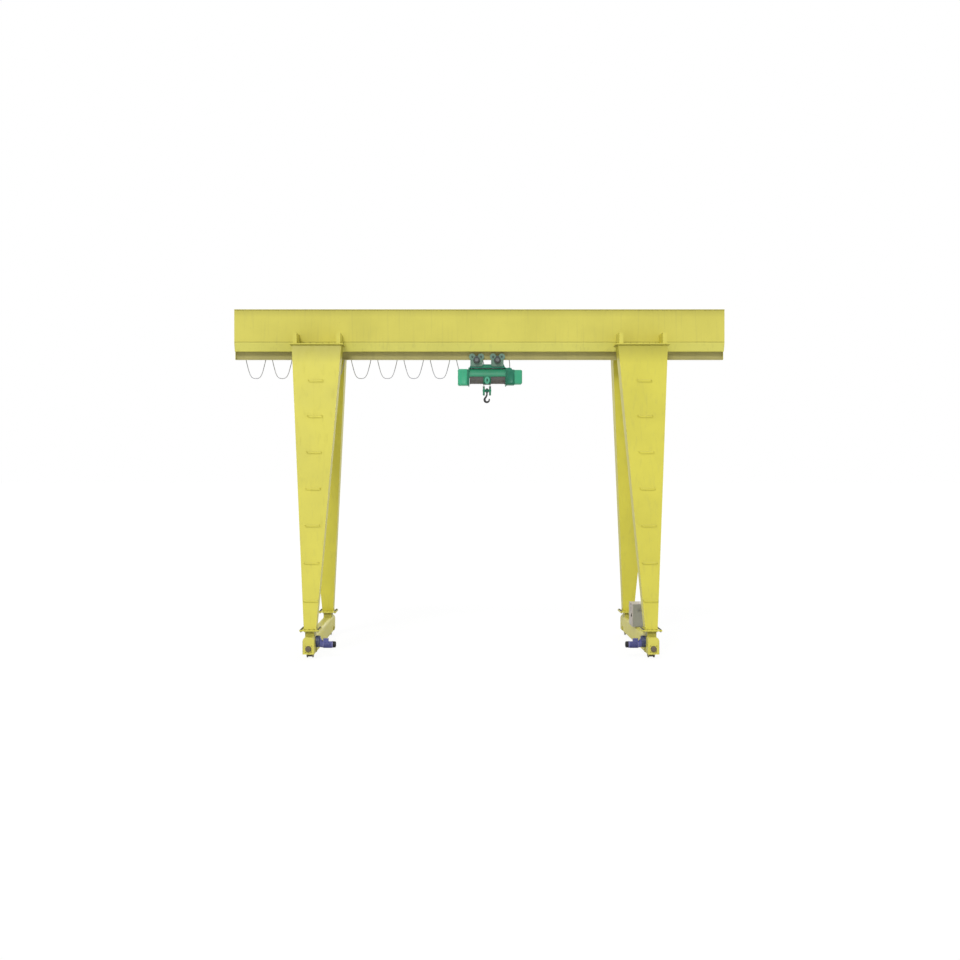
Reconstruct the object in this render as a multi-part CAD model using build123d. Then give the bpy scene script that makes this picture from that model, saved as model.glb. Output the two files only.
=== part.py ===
"""Single-girder gantry crane on four tapered legs, with a wire rope hoist under the girder.

Millimetres. X runs along the girder, Y along the crane rails (the front is at -Y), Z is up.
The origin is on the ground under the middle of the girder.
"""
import os
from math import cos, pi, radians, sin, tan

from build123d import *

# Driving dimensions: the girder
GIRDER_LENGTH = 15300.0
GIRDER_TOP = 10520.0
GIRDER_WIDTH = 560.0
TOP_PLATE_T = 16.0
TOP_PLATE_OVERHANG = 20.0
WEB_T = 8.0
GIRDER_DEPTH = 1015.0
TROUGH_T = 8.0
TROUGH_LAP = 30.0
TROUGH_KNEE_DROP = 40.0
TROUGH_SLOPE_HEIGHT = 247.0
TROUGH_BOTTOM_WIDTH = 346.0
END_PLATE_T = 8.0

# Driving dimensions: the runway beam under the girder
RUNWAY_HEIGHT = 250.0
RUNWAY_FLANGE_WIDTH = 150.0
RUNWAY_FLANGE_T = 17.0
RUNWAY_TOP_FLANGE_T = 13.0
RUNWAY_WEB_T = 10.0

# Driving dimensions: the crane's stance
RAIL_SPAN = 10000.0
WHEEL_BASE = 5490.0

# Driving dimensions: brackets between girder and legs
ARM_SPACING = 1336.0
ARM_WIDTH = 122.0
ARM_PLATE_T = 10.0
ARM_HEIGHT = 331.0
BRACKET_END_INSET = 25.0
HEAD_FLANGE_T = 20.0
HEAD_FLANGE_WIDTH = 1638.0
HEAD_FLANGE_WEB_GAP = 65.0
HEAD_FLANGE_DEPTH = 765.0
HEAD_FLANGE_DROP = 122.0

# Driving dimensions: the legs
LEG_PLATE_T = 8.0
LEG_TOP_WIDTH = 1520.0
LEG_TOP_DEPTH = 680.0
LEG_TOP_INSET = 43.0
LEG_FOOT_WIDTH = 358.0
LEG_FOOT_DEPTH = 430.0
LEG_FOOT_WHEEL_INSET = 302.0
FOOT_FLANGE_T = 20.0
FOOT_FLANGE_RISE = 180.0
FOOT_FLANGE_WIDTH = 580.0
FOOT_FLANGE_LENGTH = 760.0

# Driving dimensions: rungs on the front legs
RUNG_TOP_GAP = 500.0
RUNG_PITCH = 1095.0
RUNG_FIRST_RISE = 848.0
RUNG_WIDTH = 437.0
RUNG_STANDOFF = 100.0
RUNG_R = 10.0
RUNG_BEND_R = 45.0

# Driving dimensions: end carriages
CARRIAGE_WIDTH = 330.0
CARRIAGE_HEIGHT = 500.0
CARRIAGE_BOTTOM = 150.0
CARRIAGE_OVERHANG = 515.0
CARRIAGE_PLATE_T = 10.0
CARRIAGE_CORNER_R = 110.0
CARRIAGE_END_T = 12.0
NECK_WIDTH = 266.0
NECK_LENGTH = 560.0
NECK_PLATE_T = 12.0
WHEEL_SLOT_SIDE_GAP = 16.0
WHEEL_SLOT_END_GAP = 22.0

# Driving dimensions: travel wheels
WHEEL_FLANGE_R = 225.0
WHEEL_TREAD_R = 200.0
WHEEL_FLANGE_PITCH = 166.0
WHEEL_FLANGE_T = 24.0
WHEEL_FLANGE_TAPER = 6.0
WHEEL_RIM_INNER_R = 160.0
WHEEL_WEB_T = 44.0
WHEEL_HUB_R = 72.0
WHEEL_HUB_LENGTH = 206.0
AXLE_R = 40.0
AXLE_END_INSET = 1.0
CAP_R = 70.0
CAP_T = 25.0
CAP_CHAMFER = 6.0

# Driving dimensions: buffers
BUFFER_R = 82.5
BUFFER_LENGTH = 80.0
BUFFER_ROUND = 26.0
BUFFER_HEIGHT = 311.0

# Driving dimensions: travel drives
GEAR_CASE_R = 170.0
GEAR_CASE_T = 118.0
GEAR_CASE_HEIGHT = 469.0
GEAR_CASE_ROUND = 18.0
ADAPTER_R = 150.0
ADAPTER_LENGTH = 96.0
ADAPTER_DROP = 20.0
TRAVEL_MOTOR_R = 92.0
TRAVEL_MOTOR_HEIGHT = 380.0
TRAVEL_MOTOR_LENGTH = 286.0
FAN_COVER_LENGTH = 85.0
FAN_COVER_ROUND = 24.0
TERMINAL_BOX_LENGTH = 150.0
TERMINAL_BOX_WIDTH = 120.0
TERMINAL_BOX_TOP = 541.0
TERMINAL_BOX_START = 5.0

# Driving dimensions: control cabinet on the right carriage
CABINET_WIDTH = 464.0
CABINET_DEPTH = 770.0
CABINET_HEIGHT = 702.0
CABINET_INNER_OVERHANG = 99.0
CABINET_FRONT = -630.0
CABINET_EDGE_R = 12.0

# Driving dimensions: the hoist
HOIST_DROP = 533.0
SHELL_R = 256.0
SHELL_T = 6.0
SHELL_EDGE_DROP = 6.0
SHELL_LEFT = -311.0
SHELL_RIGHT = 817.0
DRUM_R = 223.0
DRUM_FLANGE_R = 240.0
DRUM_FLANGE_T = 16.0
DRUM_END_GAP = 11.0
DRUM_SHAFT_R = 40.0
END_FRAME_T = 30.0
END_FRAME_HALF_WIDTH = 266.0
END_FRAME_RISE = 265.0
END_FRAME_FALL = 295.0
END_FRAME_CHAMFER = 70.0
COLLAR_R = 215.0
COLLAR_LENGTH = 42.0
ELECTRIC_BOX_LENGTH = 280.0
ELECTRIC_BOX_HALF_DEPTH = 240.0
ELECTRIC_BOX_RISE = 232.0
ELECTRIC_BOX_FALL = 273.0
BOX_EDGE_R = 28.0
GEARBOX_LENGTH = 247.0
GEARBOX_HALF_DEPTH = 232.0
GEARBOX_RISE = 265.0
GEARBOX_SHOULDER_RISE = 213.0
GEARBOX_FALL = 263.0
GEARBOX_STEP = 150.0
GEARBOX_STEP_RUN = 34.0
GEARBOX_CORNER_R = 60.0
MOTOR_COVER_LENGTH = 245.0
MOTOR_COVER_HALF_DEPTH = 222.0
MOTOR_COVER_RISE = 208.0
MOTOR_COVER_FALL = 238.0
MOTOR_COVER_R = 46.0
GLAND_R = 24.0
GLAND_HEIGHT = 40.0
GLAND_EDGE_GAP = 8.0

# Driving dimensions: rope guide on the drum
GUIDE_WIDTH = 239.0
GUIDE_R = 250.0
GUIDE_BORE_GAP = 5.0
NOZZLE_WIDTH = 157.0
NOZZLE_DROP = 10.0
NOZZLE_HEIGHT = 228.0
NOZZLE_FACE = 286.0
NOZZLE_SLOT_WIDTH = 41.0
NOZZLE_SLOT_LENGTH = 130.0
NOZZLE_SLOT_DEPTH = 30.0

# Driving dimensions: trolley
TROLLEY_WHEEL_R = 75.0
TROLLEY_WHEEL_LIP_R = 87.0
TROLLEY_WHEEL_LIP_T = 9.0
TROLLEY_WHEEL_HUB_R = 34.0
TROLLEY_WHEEL_RIM_R = 58.0
TROLLEY_WHEEL_DISH = 10.0
TROLLEY_AXLE_R = 18.0
TROLLEY_AXLE_END = 22.0
TROLLEY_WHEEL_WEB_GAP = 27.0
TROLLEY_WHEEL_LIP_GAP = 7.0
BOGIE_WHEEL_SPACING = 276.0
BOGIE_LEFT_X = -85.0
BOGIE_RIGHT_X = 567.0
BOGIE_PLATE_T = 12.0
BOGIE_PLATE_INNER = 100.0
BOGIE_PLATE_WIDTH = 386.0
BOGIE_PLATE_FALL = 215.0
BOGIE_PLATE_RISE = 70.0
BOGIE_EAR_R = 100.0
BOGIE_CORNER_R = 60.0
BOGIE_PIN_R = 25.0
BOGIE_PIN_DROP = 118.0
DRIVE_R = 98.0
DRIVE_LENGTH = 120.0
DRIVE_DROP = 20.0
DRIVE_CAP_R = 60.0
DRIVE_CAP_T = 16.0
DRIVE_CHAMFER = 12.0
FRAME_PLATE_T = 12.0
FRAME_BASE_T = 15.0
FRAME_BASE_HALF_WIDTH = 170.0
FRAME_RISE = 122.0
FRAME_SHOULDER = 50.0
FRAME_LUG_R = 42.0
FRAME_LUG_GAP = 4.0
SADDLE_WIDTH = 283.0
SADDLE_HEIGHT = 63.0
SADDLE_HALF_DEPTH = 106.0

# Driving dimensions: hook block
HOOK_X = 242.0
HOOK_BLOCK_DROP = 435.0
SHEAVE_SPACING = 194.0
SHEAVE_R = 138.0
SHEAVE_WIDTH = 30.0
SHEAVE_HUB_R = 46.0
SHEAVE_WEB_T = 12.0
SHEAVE_RIM_T = 22.0
GROOVE_OPENING = 12.0
GUARD_R = 153.0
GUARD_T = 6.0
GUARD_SIDE_GAP = 4.5
TRUNNION_R = 28.0
TRUNNION_END = 14.0
CROSSHEAD_HALF_DEPTH = 48.0
CROSSHEAD_HALF_HEIGHT = 40.0
CROSSHEAD_ROUND = 10.0
ROPE_R = 6.5
ROPE_PITCH_R = 125.0
ROPE_ENTRY = 12.0

# Driving dimensions: the hook
SHANK_R = 24.0
SHANK_RISE = 72.0
SHANK_FALL = 128.0
HOOK_NUT_R = 40.0
HOOK_NUT_T = 24.0
BOWL_DROP = 284.0
BOWL_INNER_R = 43.0
BOWL_THICK = 64.0
# Angle round the bowl, share of the bowl's mean radius, share of its thickness
HOOK_TURN_SHARES = (
    (101, 1.42, 0.42), (138, 1.03, 0.50), (180, 1.00, 0.55), (225, 1.00, 0.53), (270, 1.00, 0.50),
    (315, 0.98, 0.43), (350, 0.97, 0.34), (384, 1.00, 0.26),
)

# Driving dimensions: festoon
FESTOON_PITCH = 832.0
FESTOON_COUNT = 10
FESTOON_END_INSET = 173.0
FESTOON_RAIL_END_INSET = 1807.0
FESTOON_RAIL_WIDTH = 40.0
FESTOON_RAIL_DROP = 125.0
FESTOON_RAIL_HEIGHT = 40.0
FESTOON_RAIL_T = 4.0
FESTOON_RAIL_LIP = 9.0
FESTOON_ARM_T = 8.0
FESTOON_ARM_LENGTH = 50.0
FESTOON_ARM_PITCH = 1660.0
FESTOON_ARM_INSET = 554.0
CABLE_R = 12.5
SADDLE_R = 95.0
SADDLE_DROP = 240.0
SADDLE_THICK = 50.0
SADDLE_SIDE_GAP = 3.0
HANGER_T = 6.0
HANGER_WIDTH = 60.0
CORNER_ARC_SHARE = 0.45

# Clearances
RUNNING_GAP = 0.3
CUT_OVERRUN = 20.0

# Places worked out from the sizes above
HALF_SPAN = RAIL_SPAN / 2
HALF_BASE = WHEEL_BASE / 2
HALF_LENGTH = GIRDER_LENGTH / 2
HALF_WIDTH = GIRDER_WIDTH / 2
WEB_BOTTOM = GIRDER_TOP - GIRDER_DEPTH
TROUGH_KNEE = WEB_BOTTOM - TROUGH_KNEE_DROP
TROUGH_BOTTOM = TROUGH_KNEE - TROUGH_SLOPE_HEIGHT
RUNWAY_BOTTOM = TROUGH_BOTTOM - RUNWAY_HEIGHT
RUNWAY_TREAD = RUNWAY_BOTTOM + RUNWAY_FLANGE_T
HEAD_FLANGE_TOP = WEB_BOTTOM - HEAD_FLANGE_DROP
HEAD_FLANGE_INNER = HALF_WIDTH + HEAD_FLANGE_WEB_GAP
HEAD_FLANGE_OUTER = HEAD_FLANGE_INNER + HEAD_FLANGE_DEPTH
BRACKET_REACH = HEAD_FLANGE_OUTER - BRACKET_END_INSET
LEG_TOP_INNER = HEAD_FLANGE_INNER + LEG_TOP_INSET
LEG_TOP_OUTER = LEG_TOP_INNER + LEG_TOP_DEPTH
LEG_FOOT_INNER = HALF_BASE - LEG_FOOT_WHEEL_INSET
LEG_FOOT_OUTER = LEG_FOOT_INNER + LEG_FOOT_DEPTH
CARRIAGE_LENGTH = WHEEL_BASE + 2 * CARRIAGE_OVERHANG
CARRIAGE_TOP = CARRIAGE_BOTTOM + CARRIAGE_HEIGHT
FOOT_FLANGE_TOP = CARRIAGE_TOP + FOOT_FLANGE_RISE
LEG_TOP = HEAD_FLANGE_TOP - 2 * HEAD_FLANGE_T
LEG_BOTTOM = FOOT_FLANGE_TOP
NECK_TOP = FOOT_FLANGE_TOP - 2 * FOOT_FLANGE_T
FOOT_Y = (LEG_FOOT_OUTER + LEG_FOOT_INNER) / 2
RUNG_LOWEST = FOOT_FLANGE_TOP + RUNG_FIRST_RISE
RUNG_COUNT = 1 + int((LEG_TOP - RUNG_TOP_GAP - RUNG_LOWEST) // RUNG_PITCH)
TROLLEY_AXLE_Z = RUNWAY_TREAD + TROLLEY_WHEEL_R + RUNNING_GAP
BOGIE_PLATE_BOTTOM = RUNWAY_BOTTOM - BOGIE_PLATE_FALL
BOGIE_PLATE_DIP = RUNWAY_BOTTOM + BOGIE_PLATE_RISE
BOGIE_PIN_Z = RUNWAY_BOTTOM - BOGIE_PIN_DROP
DRIVE_Z = RUNWAY_BOTTOM - DRIVE_DROP
HOIST_Z = RUNWAY_BOTTOM - HOIST_DROP
END_FRAME_TOP = HOIST_Z + END_FRAME_RISE
END_FRAME_BOTTOM = HOIST_Z - END_FRAME_FALL
FRAME_TOP = END_FRAME_TOP + FRAME_RISE
COLLAR_LEFT = SHELL_LEFT - END_FRAME_T - COLLAR_LENGTH
ELECTRIC_BOX_TOP = HOIST_Z + ELECTRIC_BOX_RISE
ELECTRIC_BOX_BOTTOM = HOIST_Z - ELECTRIC_BOX_FALL
GEARBOX_LEFT = SHELL_RIGHT + END_FRAME_T
GEARBOX_TOP = HOIST_Z + GEARBOX_RISE
GEARBOX_SHOULDER = HOIST_Z + GEARBOX_SHOULDER_RISE
GEARBOX_BOTTOM = HOIST_Z - GEARBOX_FALL
MOTOR_COVER_LEFT = GEARBOX_LEFT + GEARBOX_LENGTH
MOTOR_COVER_TOP = HOIST_Z + MOTOR_COVER_RISE
MOTOR_COVER_BOTTOM = HOIST_Z - MOTOR_COVER_FALL
NOZZLE_TOP = HOIST_Z - NOZZLE_DROP
NOZZLE_BOTTOM = NOZZLE_TOP - NOZZLE_HEIGHT
SHEAVE_Z = HOIST_Z - HOOK_BLOCK_DROP
SHANK_TOP = SHEAVE_Z + SHANK_RISE
SHANK_BOTTOM = SHEAVE_Z - SHANK_FALL
BOWL_Z = SHEAVE_Z - BOWL_DROP
FESTOON_Y = HALF_WIDTH + FESTOON_RAIL_WIDTH / 2
FESTOON_FIRST = FESTOON_END_INSET - HALF_LENGTH
FESTOON_RAIL_END = HALF_LENGTH - FESTOON_RAIL_END_INSET
FESTOON_ARM_FIRST = FESTOON_ARM_INSET - HALF_LENGTH
FESTOON_RAIL_TOP = WEB_BOTTOM - FESTOON_RAIL_DROP
SADDLE_Z = FESTOON_RAIL_TOP - SADDLE_DROP


def box_between(x0, x1, y0, y1, z0, z1):
    """Box between two opposite corners, given in any order."""
    centre = Pos((x0 + x1) / 2, (y0 + y1) / 2, (z0 + z1) / 2)
    return centre * Box(abs(x1 - x0), abs(y1 - y0), abs(z1 - z0))


def prism_x(points, x0, x1):
    """Outline of (y, z) points carried from x0 to x1."""
    plane = Plane(origin=(min(x0, x1), 0, 0), x_dir=(0, 1, 0), z_dir=(1, 0, 0))
    face = make_face(Polyline(*points, close=True))
    return extrude(plane * face, amount=abs(x1 - x0))


def prism_y(sketch, y0, y1):
    """Sketch drawn as (x, z), carried from y0 to y1."""
    plane = Plane(origin=(0, max(y0, y1), 0), x_dir=(1, 0, 0), z_dir=(0, -1, 0))
    return extrude(plane * sketch, amount=abs(y1 - y0))


def outline(points):
    """Closed flat face through the points."""
    return make_face(Polyline(*points, close=True))


def turned_x(points, x, y, z):
    """Solid of revolution about a line along X through (x, y, z), from (x, r) points."""
    return Pos(x, y, z) * revolve(outline(points), axis=Axis.X)


def rod_x(x0, x1, y, z, radius):
    """Round bar along X."""
    return Pos((x0 + x1) / 2, y, z) * Rot(0, 90, 0) * Cylinder(radius, abs(x1 - x0))


def rod_y(y0, y1, x, z, radius):
    """Round bar along Y."""
    return Pos(x, (y0 + y1) / 2, z) * Rot(90, 0, 0) * Cylinder(radius, abs(y1 - y0))


def rod_z(z0, z1, x, y, radius):
    """Round bar along Z."""
    return Pos(x, y, (z0 + z1) / 2) * Cylinder(radius, abs(z1 - z0))


def save(name, *solids):
    """Write one node; several solids share it when they don't touch."""
    shape = solids[0] if len(solids) == 1 else Compound(children=list(solids))
    export_step(shape, f"parts/{name}.step")


# Girder

def trough_half(inset):
    """Half outline of the trough's outer (inset 0) or inner side, from lap to bottom."""
    lip = HALF_WIDTH - WEB_T - inset
    return [
        (lip, WEB_BOTTOM + TROUGH_LAP),
        (lip, TROUGH_KNEE),
        (TROUGH_BOTTOM_WIDTH / 2 - inset, TROUGH_BOTTOM + inset),
    ]


def make_girder():
    top_under = GIRDER_TOP - TOP_PLATE_T
    reach = HALF_LENGTH - END_PLATE_T
    edge = HALF_WIDTH + TOP_PLATE_OVERHANG
    save("girder_top_plate", box_between(-HALF_LENGTH, HALF_LENGTH, -edge, edge, top_under, GIRDER_TOP))
    for name, side in (("front", -1), ("rear", 1)):
        outer = side * HALF_WIDTH
        inner = side * (HALF_WIDTH - WEB_T)
        save(f"girder_web_{name}", box_between(-reach, reach, inner, outer, WEB_BOTTOM, top_under))
    outer_half = trough_half(0)
    inner_half = trough_half(TROUGH_T)
    mirrored_outer = [(-y, z) for y, z in outer_half]
    mirrored_inner = [(-y, z) for y, z in inner_half]
    section = outer_half + mirrored_outer[::-1] + mirrored_inner + inner_half[::-1]
    save("girder_trough", prism_x(section, -reach, reach))
    save("girder_end_plates", *[end_plate(side) for side in (-1, 1)])


def end_plate(side):
    """Plate that closes the box, with a tongue down over the end of the runway beam."""
    tongue = RUNWAY_FLANGE_WIDTH / 2
    half = [
        (HALF_WIDTH, GIRDER_TOP - TOP_PLATE_T),
        (HALF_WIDTH, TROUGH_KNEE),
        (TROUGH_BOTTOM_WIDTH / 2, TROUGH_BOTTOM),
        (tongue, TROUGH_BOTTOM),
        (tongue, RUNWAY_BOTTOM),
    ]
    points = half + [(-y, z) for y, z in half[::-1]]
    return prism_x(points, side * (HALF_LENGTH - END_PLATE_T), side * HALF_LENGTH)


def make_runway():
    reach = HALF_LENGTH - END_PLATE_T
    flange = RUNWAY_FLANGE_WIDTH / 2
    web = RUNWAY_WEB_T / 2
    upper = TROUGH_BOTTOM - RUNWAY_TOP_FLANGE_T
    half = [
        (flange, RUNWAY_BOTTOM),
        (flange, RUNWAY_TREAD),
        (web, RUNWAY_TREAD),
        (web, upper),
        (flange, upper),
        (flange, TROUGH_BOTTOM),
    ]
    points = half + [(-y, z) for y, z in half[::-1]]
    save("runway_beam", prism_x(points, -reach, reach))


# Brackets and legs

def make_bracket(x_side, y_side):
    """Two hollow arms from the web out over a bolted head flange."""
    centre = x_side * HALF_SPAN
    solid = box_between(
        centre - HEAD_FLANGE_WIDTH / 2, centre + HEAD_FLANGE_WIDTH / 2,
        y_side * HEAD_FLANGE_INNER, y_side * HEAD_FLANGE_OUTER,
        HEAD_FLANGE_TOP - HEAD_FLANGE_T, HEAD_FLANGE_TOP)
    for arm in (-1, 1):
        x = centre + arm * ARM_SPACING / 2
        wide = ARM_WIDTH / 2
        bore = wide - ARM_PLATE_T
        solid += box_between(
            x - wide, x + wide, y_side * HALF_WIDTH, y_side * BRACKET_REACH,
            HEAD_FLANGE_TOP, HEAD_FLANGE_TOP + ARM_HEIGHT)
        solid -= box_between(
            x - bore, x + bore, y_side * HALF_WIDTH, y_side * (BRACKET_REACH - ARM_PLATE_T),
            HEAD_FLANGE_TOP + ARM_PLATE_T, HEAD_FLANGE_TOP + ARM_HEIGHT - ARM_PLATE_T)
    return solid


def leg_body(x_side, y_side, inset):
    """Tapered box of a leg, all its sides moved in by inset."""
    centre = x_side * HALF_SPAN
    top_half = LEG_TOP_WIDTH / 2 - inset
    foot_half = LEG_FOOT_WIDTH / 2 - inset
    front = outline([
        (centre - foot_half, LEG_BOTTOM),
        (centre + foot_half, LEG_BOTTOM),
        (centre + top_half, LEG_TOP),
        (centre - top_half, LEG_TOP),
    ])
    side = [
        (y_side * (LEG_FOOT_INNER + inset), LEG_BOTTOM),
        (y_side * (LEG_FOOT_OUTER - inset), LEG_BOTTOM),
        (y_side * (LEG_TOP_OUTER - inset), LEG_TOP),
        (y_side * (LEG_TOP_INNER + inset), LEG_TOP),
    ]
    slab = prism_y(front, y_side * (LEG_TOP_INNER - CUT_OVERRUN), y_side * (LEG_FOOT_OUTER + CUT_OVERRUN))
    wedge = prism_x(side, centre - LEG_TOP_WIDTH, centre + LEG_TOP_WIDTH)
    return slab & wedge


def make_leg(x_side, y_side):
    """Hollow tapered leg with its head flange and its foot flange."""
    centre = x_side * HALF_SPAN
    solid = leg_body(x_side, y_side, 0) - leg_body(x_side, y_side, LEG_PLATE_T)
    solid += box_between(
        centre - HEAD_FLANGE_WIDTH / 2, centre + HEAD_FLANGE_WIDTH / 2,
        y_side * HEAD_FLANGE_INNER, y_side * HEAD_FLANGE_OUTER,
        LEG_TOP, LEG_TOP + HEAD_FLANGE_T)
    solid += box_between(
        centre - FOOT_FLANGE_WIDTH / 2, centre + FOOT_FLANGE_WIDTH / 2,
        y_side * (FOOT_Y - FOOT_FLANGE_LENGTH / 2), y_side * (FOOT_Y + FOOT_FLANGE_LENGTH / 2),
        LEG_BOTTOM - FOOT_FLANGE_T, LEG_BOTTOM)
    return solid


def leg_face(z):
    """Distance from the girder's mid-plane to a leg's outer face at height z."""
    share = (z - LEG_BOTTOM) / (LEG_TOP - LEG_BOTTOM)
    return LEG_FOOT_OUTER + (LEG_TOP_OUTER - LEG_FOOT_OUTER) * share


def make_rungs(x_side):
    """Staple rungs on the outer face of a front leg."""
    centre = x_side * HALF_SPAN
    leg = leg_body(x_side, -1, 0)
    rungs = []
    for index in range(RUNG_COUNT):
        z = RUNG_LOWEST + index * RUNG_PITCH
        seat = -leg_face(z)
        left = centre - RUNG_WIDTH / 2
        right = centre + RUNG_WIDTH / 2
        path = FilletPolyline(
            (left, seat + RUNG_R, z), (left, seat - RUNG_STANDOFF, z),
            (right, seat - RUNG_STANDOFF, z), (right, seat + RUNG_R, z), radius=RUNG_BEND_R)
        section = Plane(origin=(left, seat + RUNG_R, z), z_dir=(0, -1, 0)) * Circle(RUNG_R)
        rungs.append(sweep(section, path=path) - leg)
    return rungs


# End carriages and travel wheels

def carriage_outline(centre, inset):
    """Cross-section of a carriage with its two folded top corners."""
    half = CARRIAGE_WIDTH / 2 - inset
    low = CARRIAGE_BOTTOM + inset
    high = CARRIAGE_TOP - inset
    block = outline([
        (centre - half, low), (centre + half, low), (centre + half, high), (centre - half, high),
    ])
    corners = block.vertices().sort_by(Axis.Y)[2:]
    return fillet(corners, CARRIAGE_CORNER_R - inset)


def neck(x_side, y_side):
    """Short hollow stub with the lower foot flange."""
    centre = x_side * HALF_SPAN
    middle = y_side * FOOT_Y
    base = CARRIAGE_TOP - CARRIAGE_CORNER_R
    half = NECK_WIDTH / 2
    run = NECK_LENGTH / 2
    stub = box_between(centre - half, centre + half, middle - run, middle + run, base, NECK_TOP)
    half -= NECK_PLATE_T
    run -= NECK_PLATE_T
    stub -= box_between(centre - half, centre + half, middle - run, middle + run, base, NECK_TOP)
    plate = box_between(
        centre - FOOT_FLANGE_WIDTH / 2, centre + FOOT_FLANGE_WIDTH / 2,
        middle - FOOT_FLANGE_LENGTH / 2, middle + FOOT_FLANGE_LENGTH / 2,
        NECK_TOP, NECK_TOP + FOOT_FLANGE_T)
    return stub, plate


def make_carriage(x_side):
    """Folded box beam with slots for the wheels, end plates and the two necks."""
    centre = x_side * HALF_SPAN
    half_run = CARRIAGE_LENGTH / 2
    outer = prism_y(carriage_outline(centre, 0), -half_run, half_run)
    hollow = prism_y(
        carriage_outline(centre, CARRIAGE_PLATE_T), -half_run + CARRIAGE_END_T, half_run - CARRIAGE_END_T)
    solid = outer - hollow
    slot_half = WHEEL_FLANGE_PITCH / 2 + WHEEL_FLANGE_T / 2 + WHEEL_SLOT_SIDE_GAP
    sag = WHEEL_FLANGE_R - CARRIAGE_BOTTOM
    chord = (WHEEL_FLANGE_R ** 2 - sag ** 2) ** 0.5 + WHEEL_SLOT_END_GAP
    for y_side in (-1, 1):
        wheel_y = y_side * HALF_BASE
        solid -= box_between(
            centre - slot_half, centre + slot_half, wheel_y - chord, wheel_y + chord,
            CARRIAGE_BOTTOM - CUT_OVERRUN, CARRIAGE_BOTTOM + CUT_OVERRUN)
        solid -= rod_x(
            centre - CARRIAGE_WIDTH, centre + CARRIAGE_WIDTH, wheel_y, WHEEL_FLANGE_R, AXLE_R + RUNNING_GAP)
        stub, plate = neck(x_side, y_side)
        solid += (stub - outer)
        solid += plate
    return solid


def make_travel_wheel(x, y):
    """Double-flanged wheel with its hub and axle, turned about X."""
    outer = WHEEL_FLANGE_PITCH / 2 + WHEEL_FLANGE_T / 2
    inner = WHEEL_FLANGE_PITCH / 2 - WHEEL_FLANGE_T / 2
    web = WHEEL_WEB_T / 2
    hub = WHEEL_HUB_LENGTH / 2
    axle = CARRIAGE_WIDTH / 2 - AXLE_END_INSET
    half = [
        (0, WHEEL_TREAD_R),
        (inner - WHEEL_FLANGE_TAPER, WHEEL_TREAD_R),
        (inner, WHEEL_FLANGE_R),
        (outer, WHEEL_FLANGE_R),
        (outer, WHEEL_RIM_INNER_R),
        (web, WHEEL_RIM_INNER_R),
        (web, WHEEL_HUB_R),
        (hub, WHEEL_HUB_R),
        (hub, AXLE_R),
        (axle, AXLE_R),
        (axle, 0),
    ]
    points = half + [(-px, r) for px, r in half[:0:-1]]
    return turned_x(points, x, y, WHEEL_FLANGE_R)


def bearing_cap(x, y, direction):
    """Round cover over an axle's end, on the carriage's side."""
    points = [
        (0, 0), (0, CAP_R), (CAP_T - CAP_CHAMFER, CAP_R), (CAP_T, CAP_R - CAP_CHAMFER), (CAP_T, 0),
    ]
    points = [(direction * px, r) for px, r in points]
    return turned_x(points, x, y, WHEEL_FLANGE_R)


def make_bearing_caps():
    """Covers on both sides of the carriages, one at each end of every axle."""
    caps = []
    for x_side in (-1, 1):
        for y in (-HALF_BASE, HALF_BASE):
            for face in (-1, 1):
                x = x_side * HALF_SPAN + face * CARRIAGE_WIDTH / 2
                caps.append(bearing_cap(x, y, face))
    return caps


def make_buffer(x_side, y_side):
    """Rubber buffer with a rounded nose on the end of a carriage."""
    points = [(0, 0), (0, BUFFER_R), (BUFFER_LENGTH, BUFFER_R), (BUFFER_LENGTH, 0)]
    nose = revolve(outline(points), axis=Axis.X)
    rim = nose.edges().filter_by(GeomType.CIRCLE).sort_by(Axis.X)[-1]
    nose = fillet(rim, BUFFER_ROUND)
    place = Pos(x_side * HALF_SPAN, y_side * CARRIAGE_LENGTH / 2, BUFFER_HEIGHT)
    return place * Rot(0, 0, y_side * 90) * nose


# Travel drives

def drive_places(x_side):
    """X of the carriage's inner side, of the gear case's face and of the motor's far end."""
    side = x_side * (HALF_SPAN - CARRIAGE_WIDTH / 2)
    case = side - x_side * GEAR_CASE_T
    motor = case - x_side * (ADAPTER_LENGTH + TRAVEL_MOTOR_LENGTH)
    return side, case, motor


def make_gear_case(x_side):
    side, case, _ = drive_places(x_side)
    y = -HALF_BASE
    solid = rod_x(side, case, y, GEAR_CASE_HEIGHT, GEAR_CASE_R)
    rim = solid.edges().filter_by(GeomType.CIRCLE).sort_by(Axis.X)
    return fillet(rim[-1] if x_side < 0 else rim[0], GEAR_CASE_ROUND)


def make_travel_motor(x_side):
    """Tapered adapter, motor barrel and terminal box."""
    _, case, end = drive_places(x_side)
    y = -HALF_BASE
    foot = case - x_side * ADAPTER_LENGTH
    wide = Plane(origin=(case, y, GEAR_CASE_HEIGHT - ADAPTER_DROP), z_dir=(1, 0, 0)) * Circle(ADAPTER_R)
    narrow = Plane(origin=(foot, y, TRAVEL_MOTOR_HEIGHT), z_dir=(1, 0, 0)) * Circle(TRAVEL_MOTOR_R)
    solid = loft([wide, narrow], ruled=True)
    solid += rod_x(foot, end, y, TRAVEL_MOTOR_HEIGHT, TRAVEL_MOTOR_R)
    start = foot - x_side * TERMINAL_BOX_START
    solid += box_between(
        start, start - x_side * TERMINAL_BOX_LENGTH,
        y - TERMINAL_BOX_WIDTH / 2, y + TERMINAL_BOX_WIDTH / 2, TRAVEL_MOTOR_HEIGHT, TERMINAL_BOX_TOP)
    return solid


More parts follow.
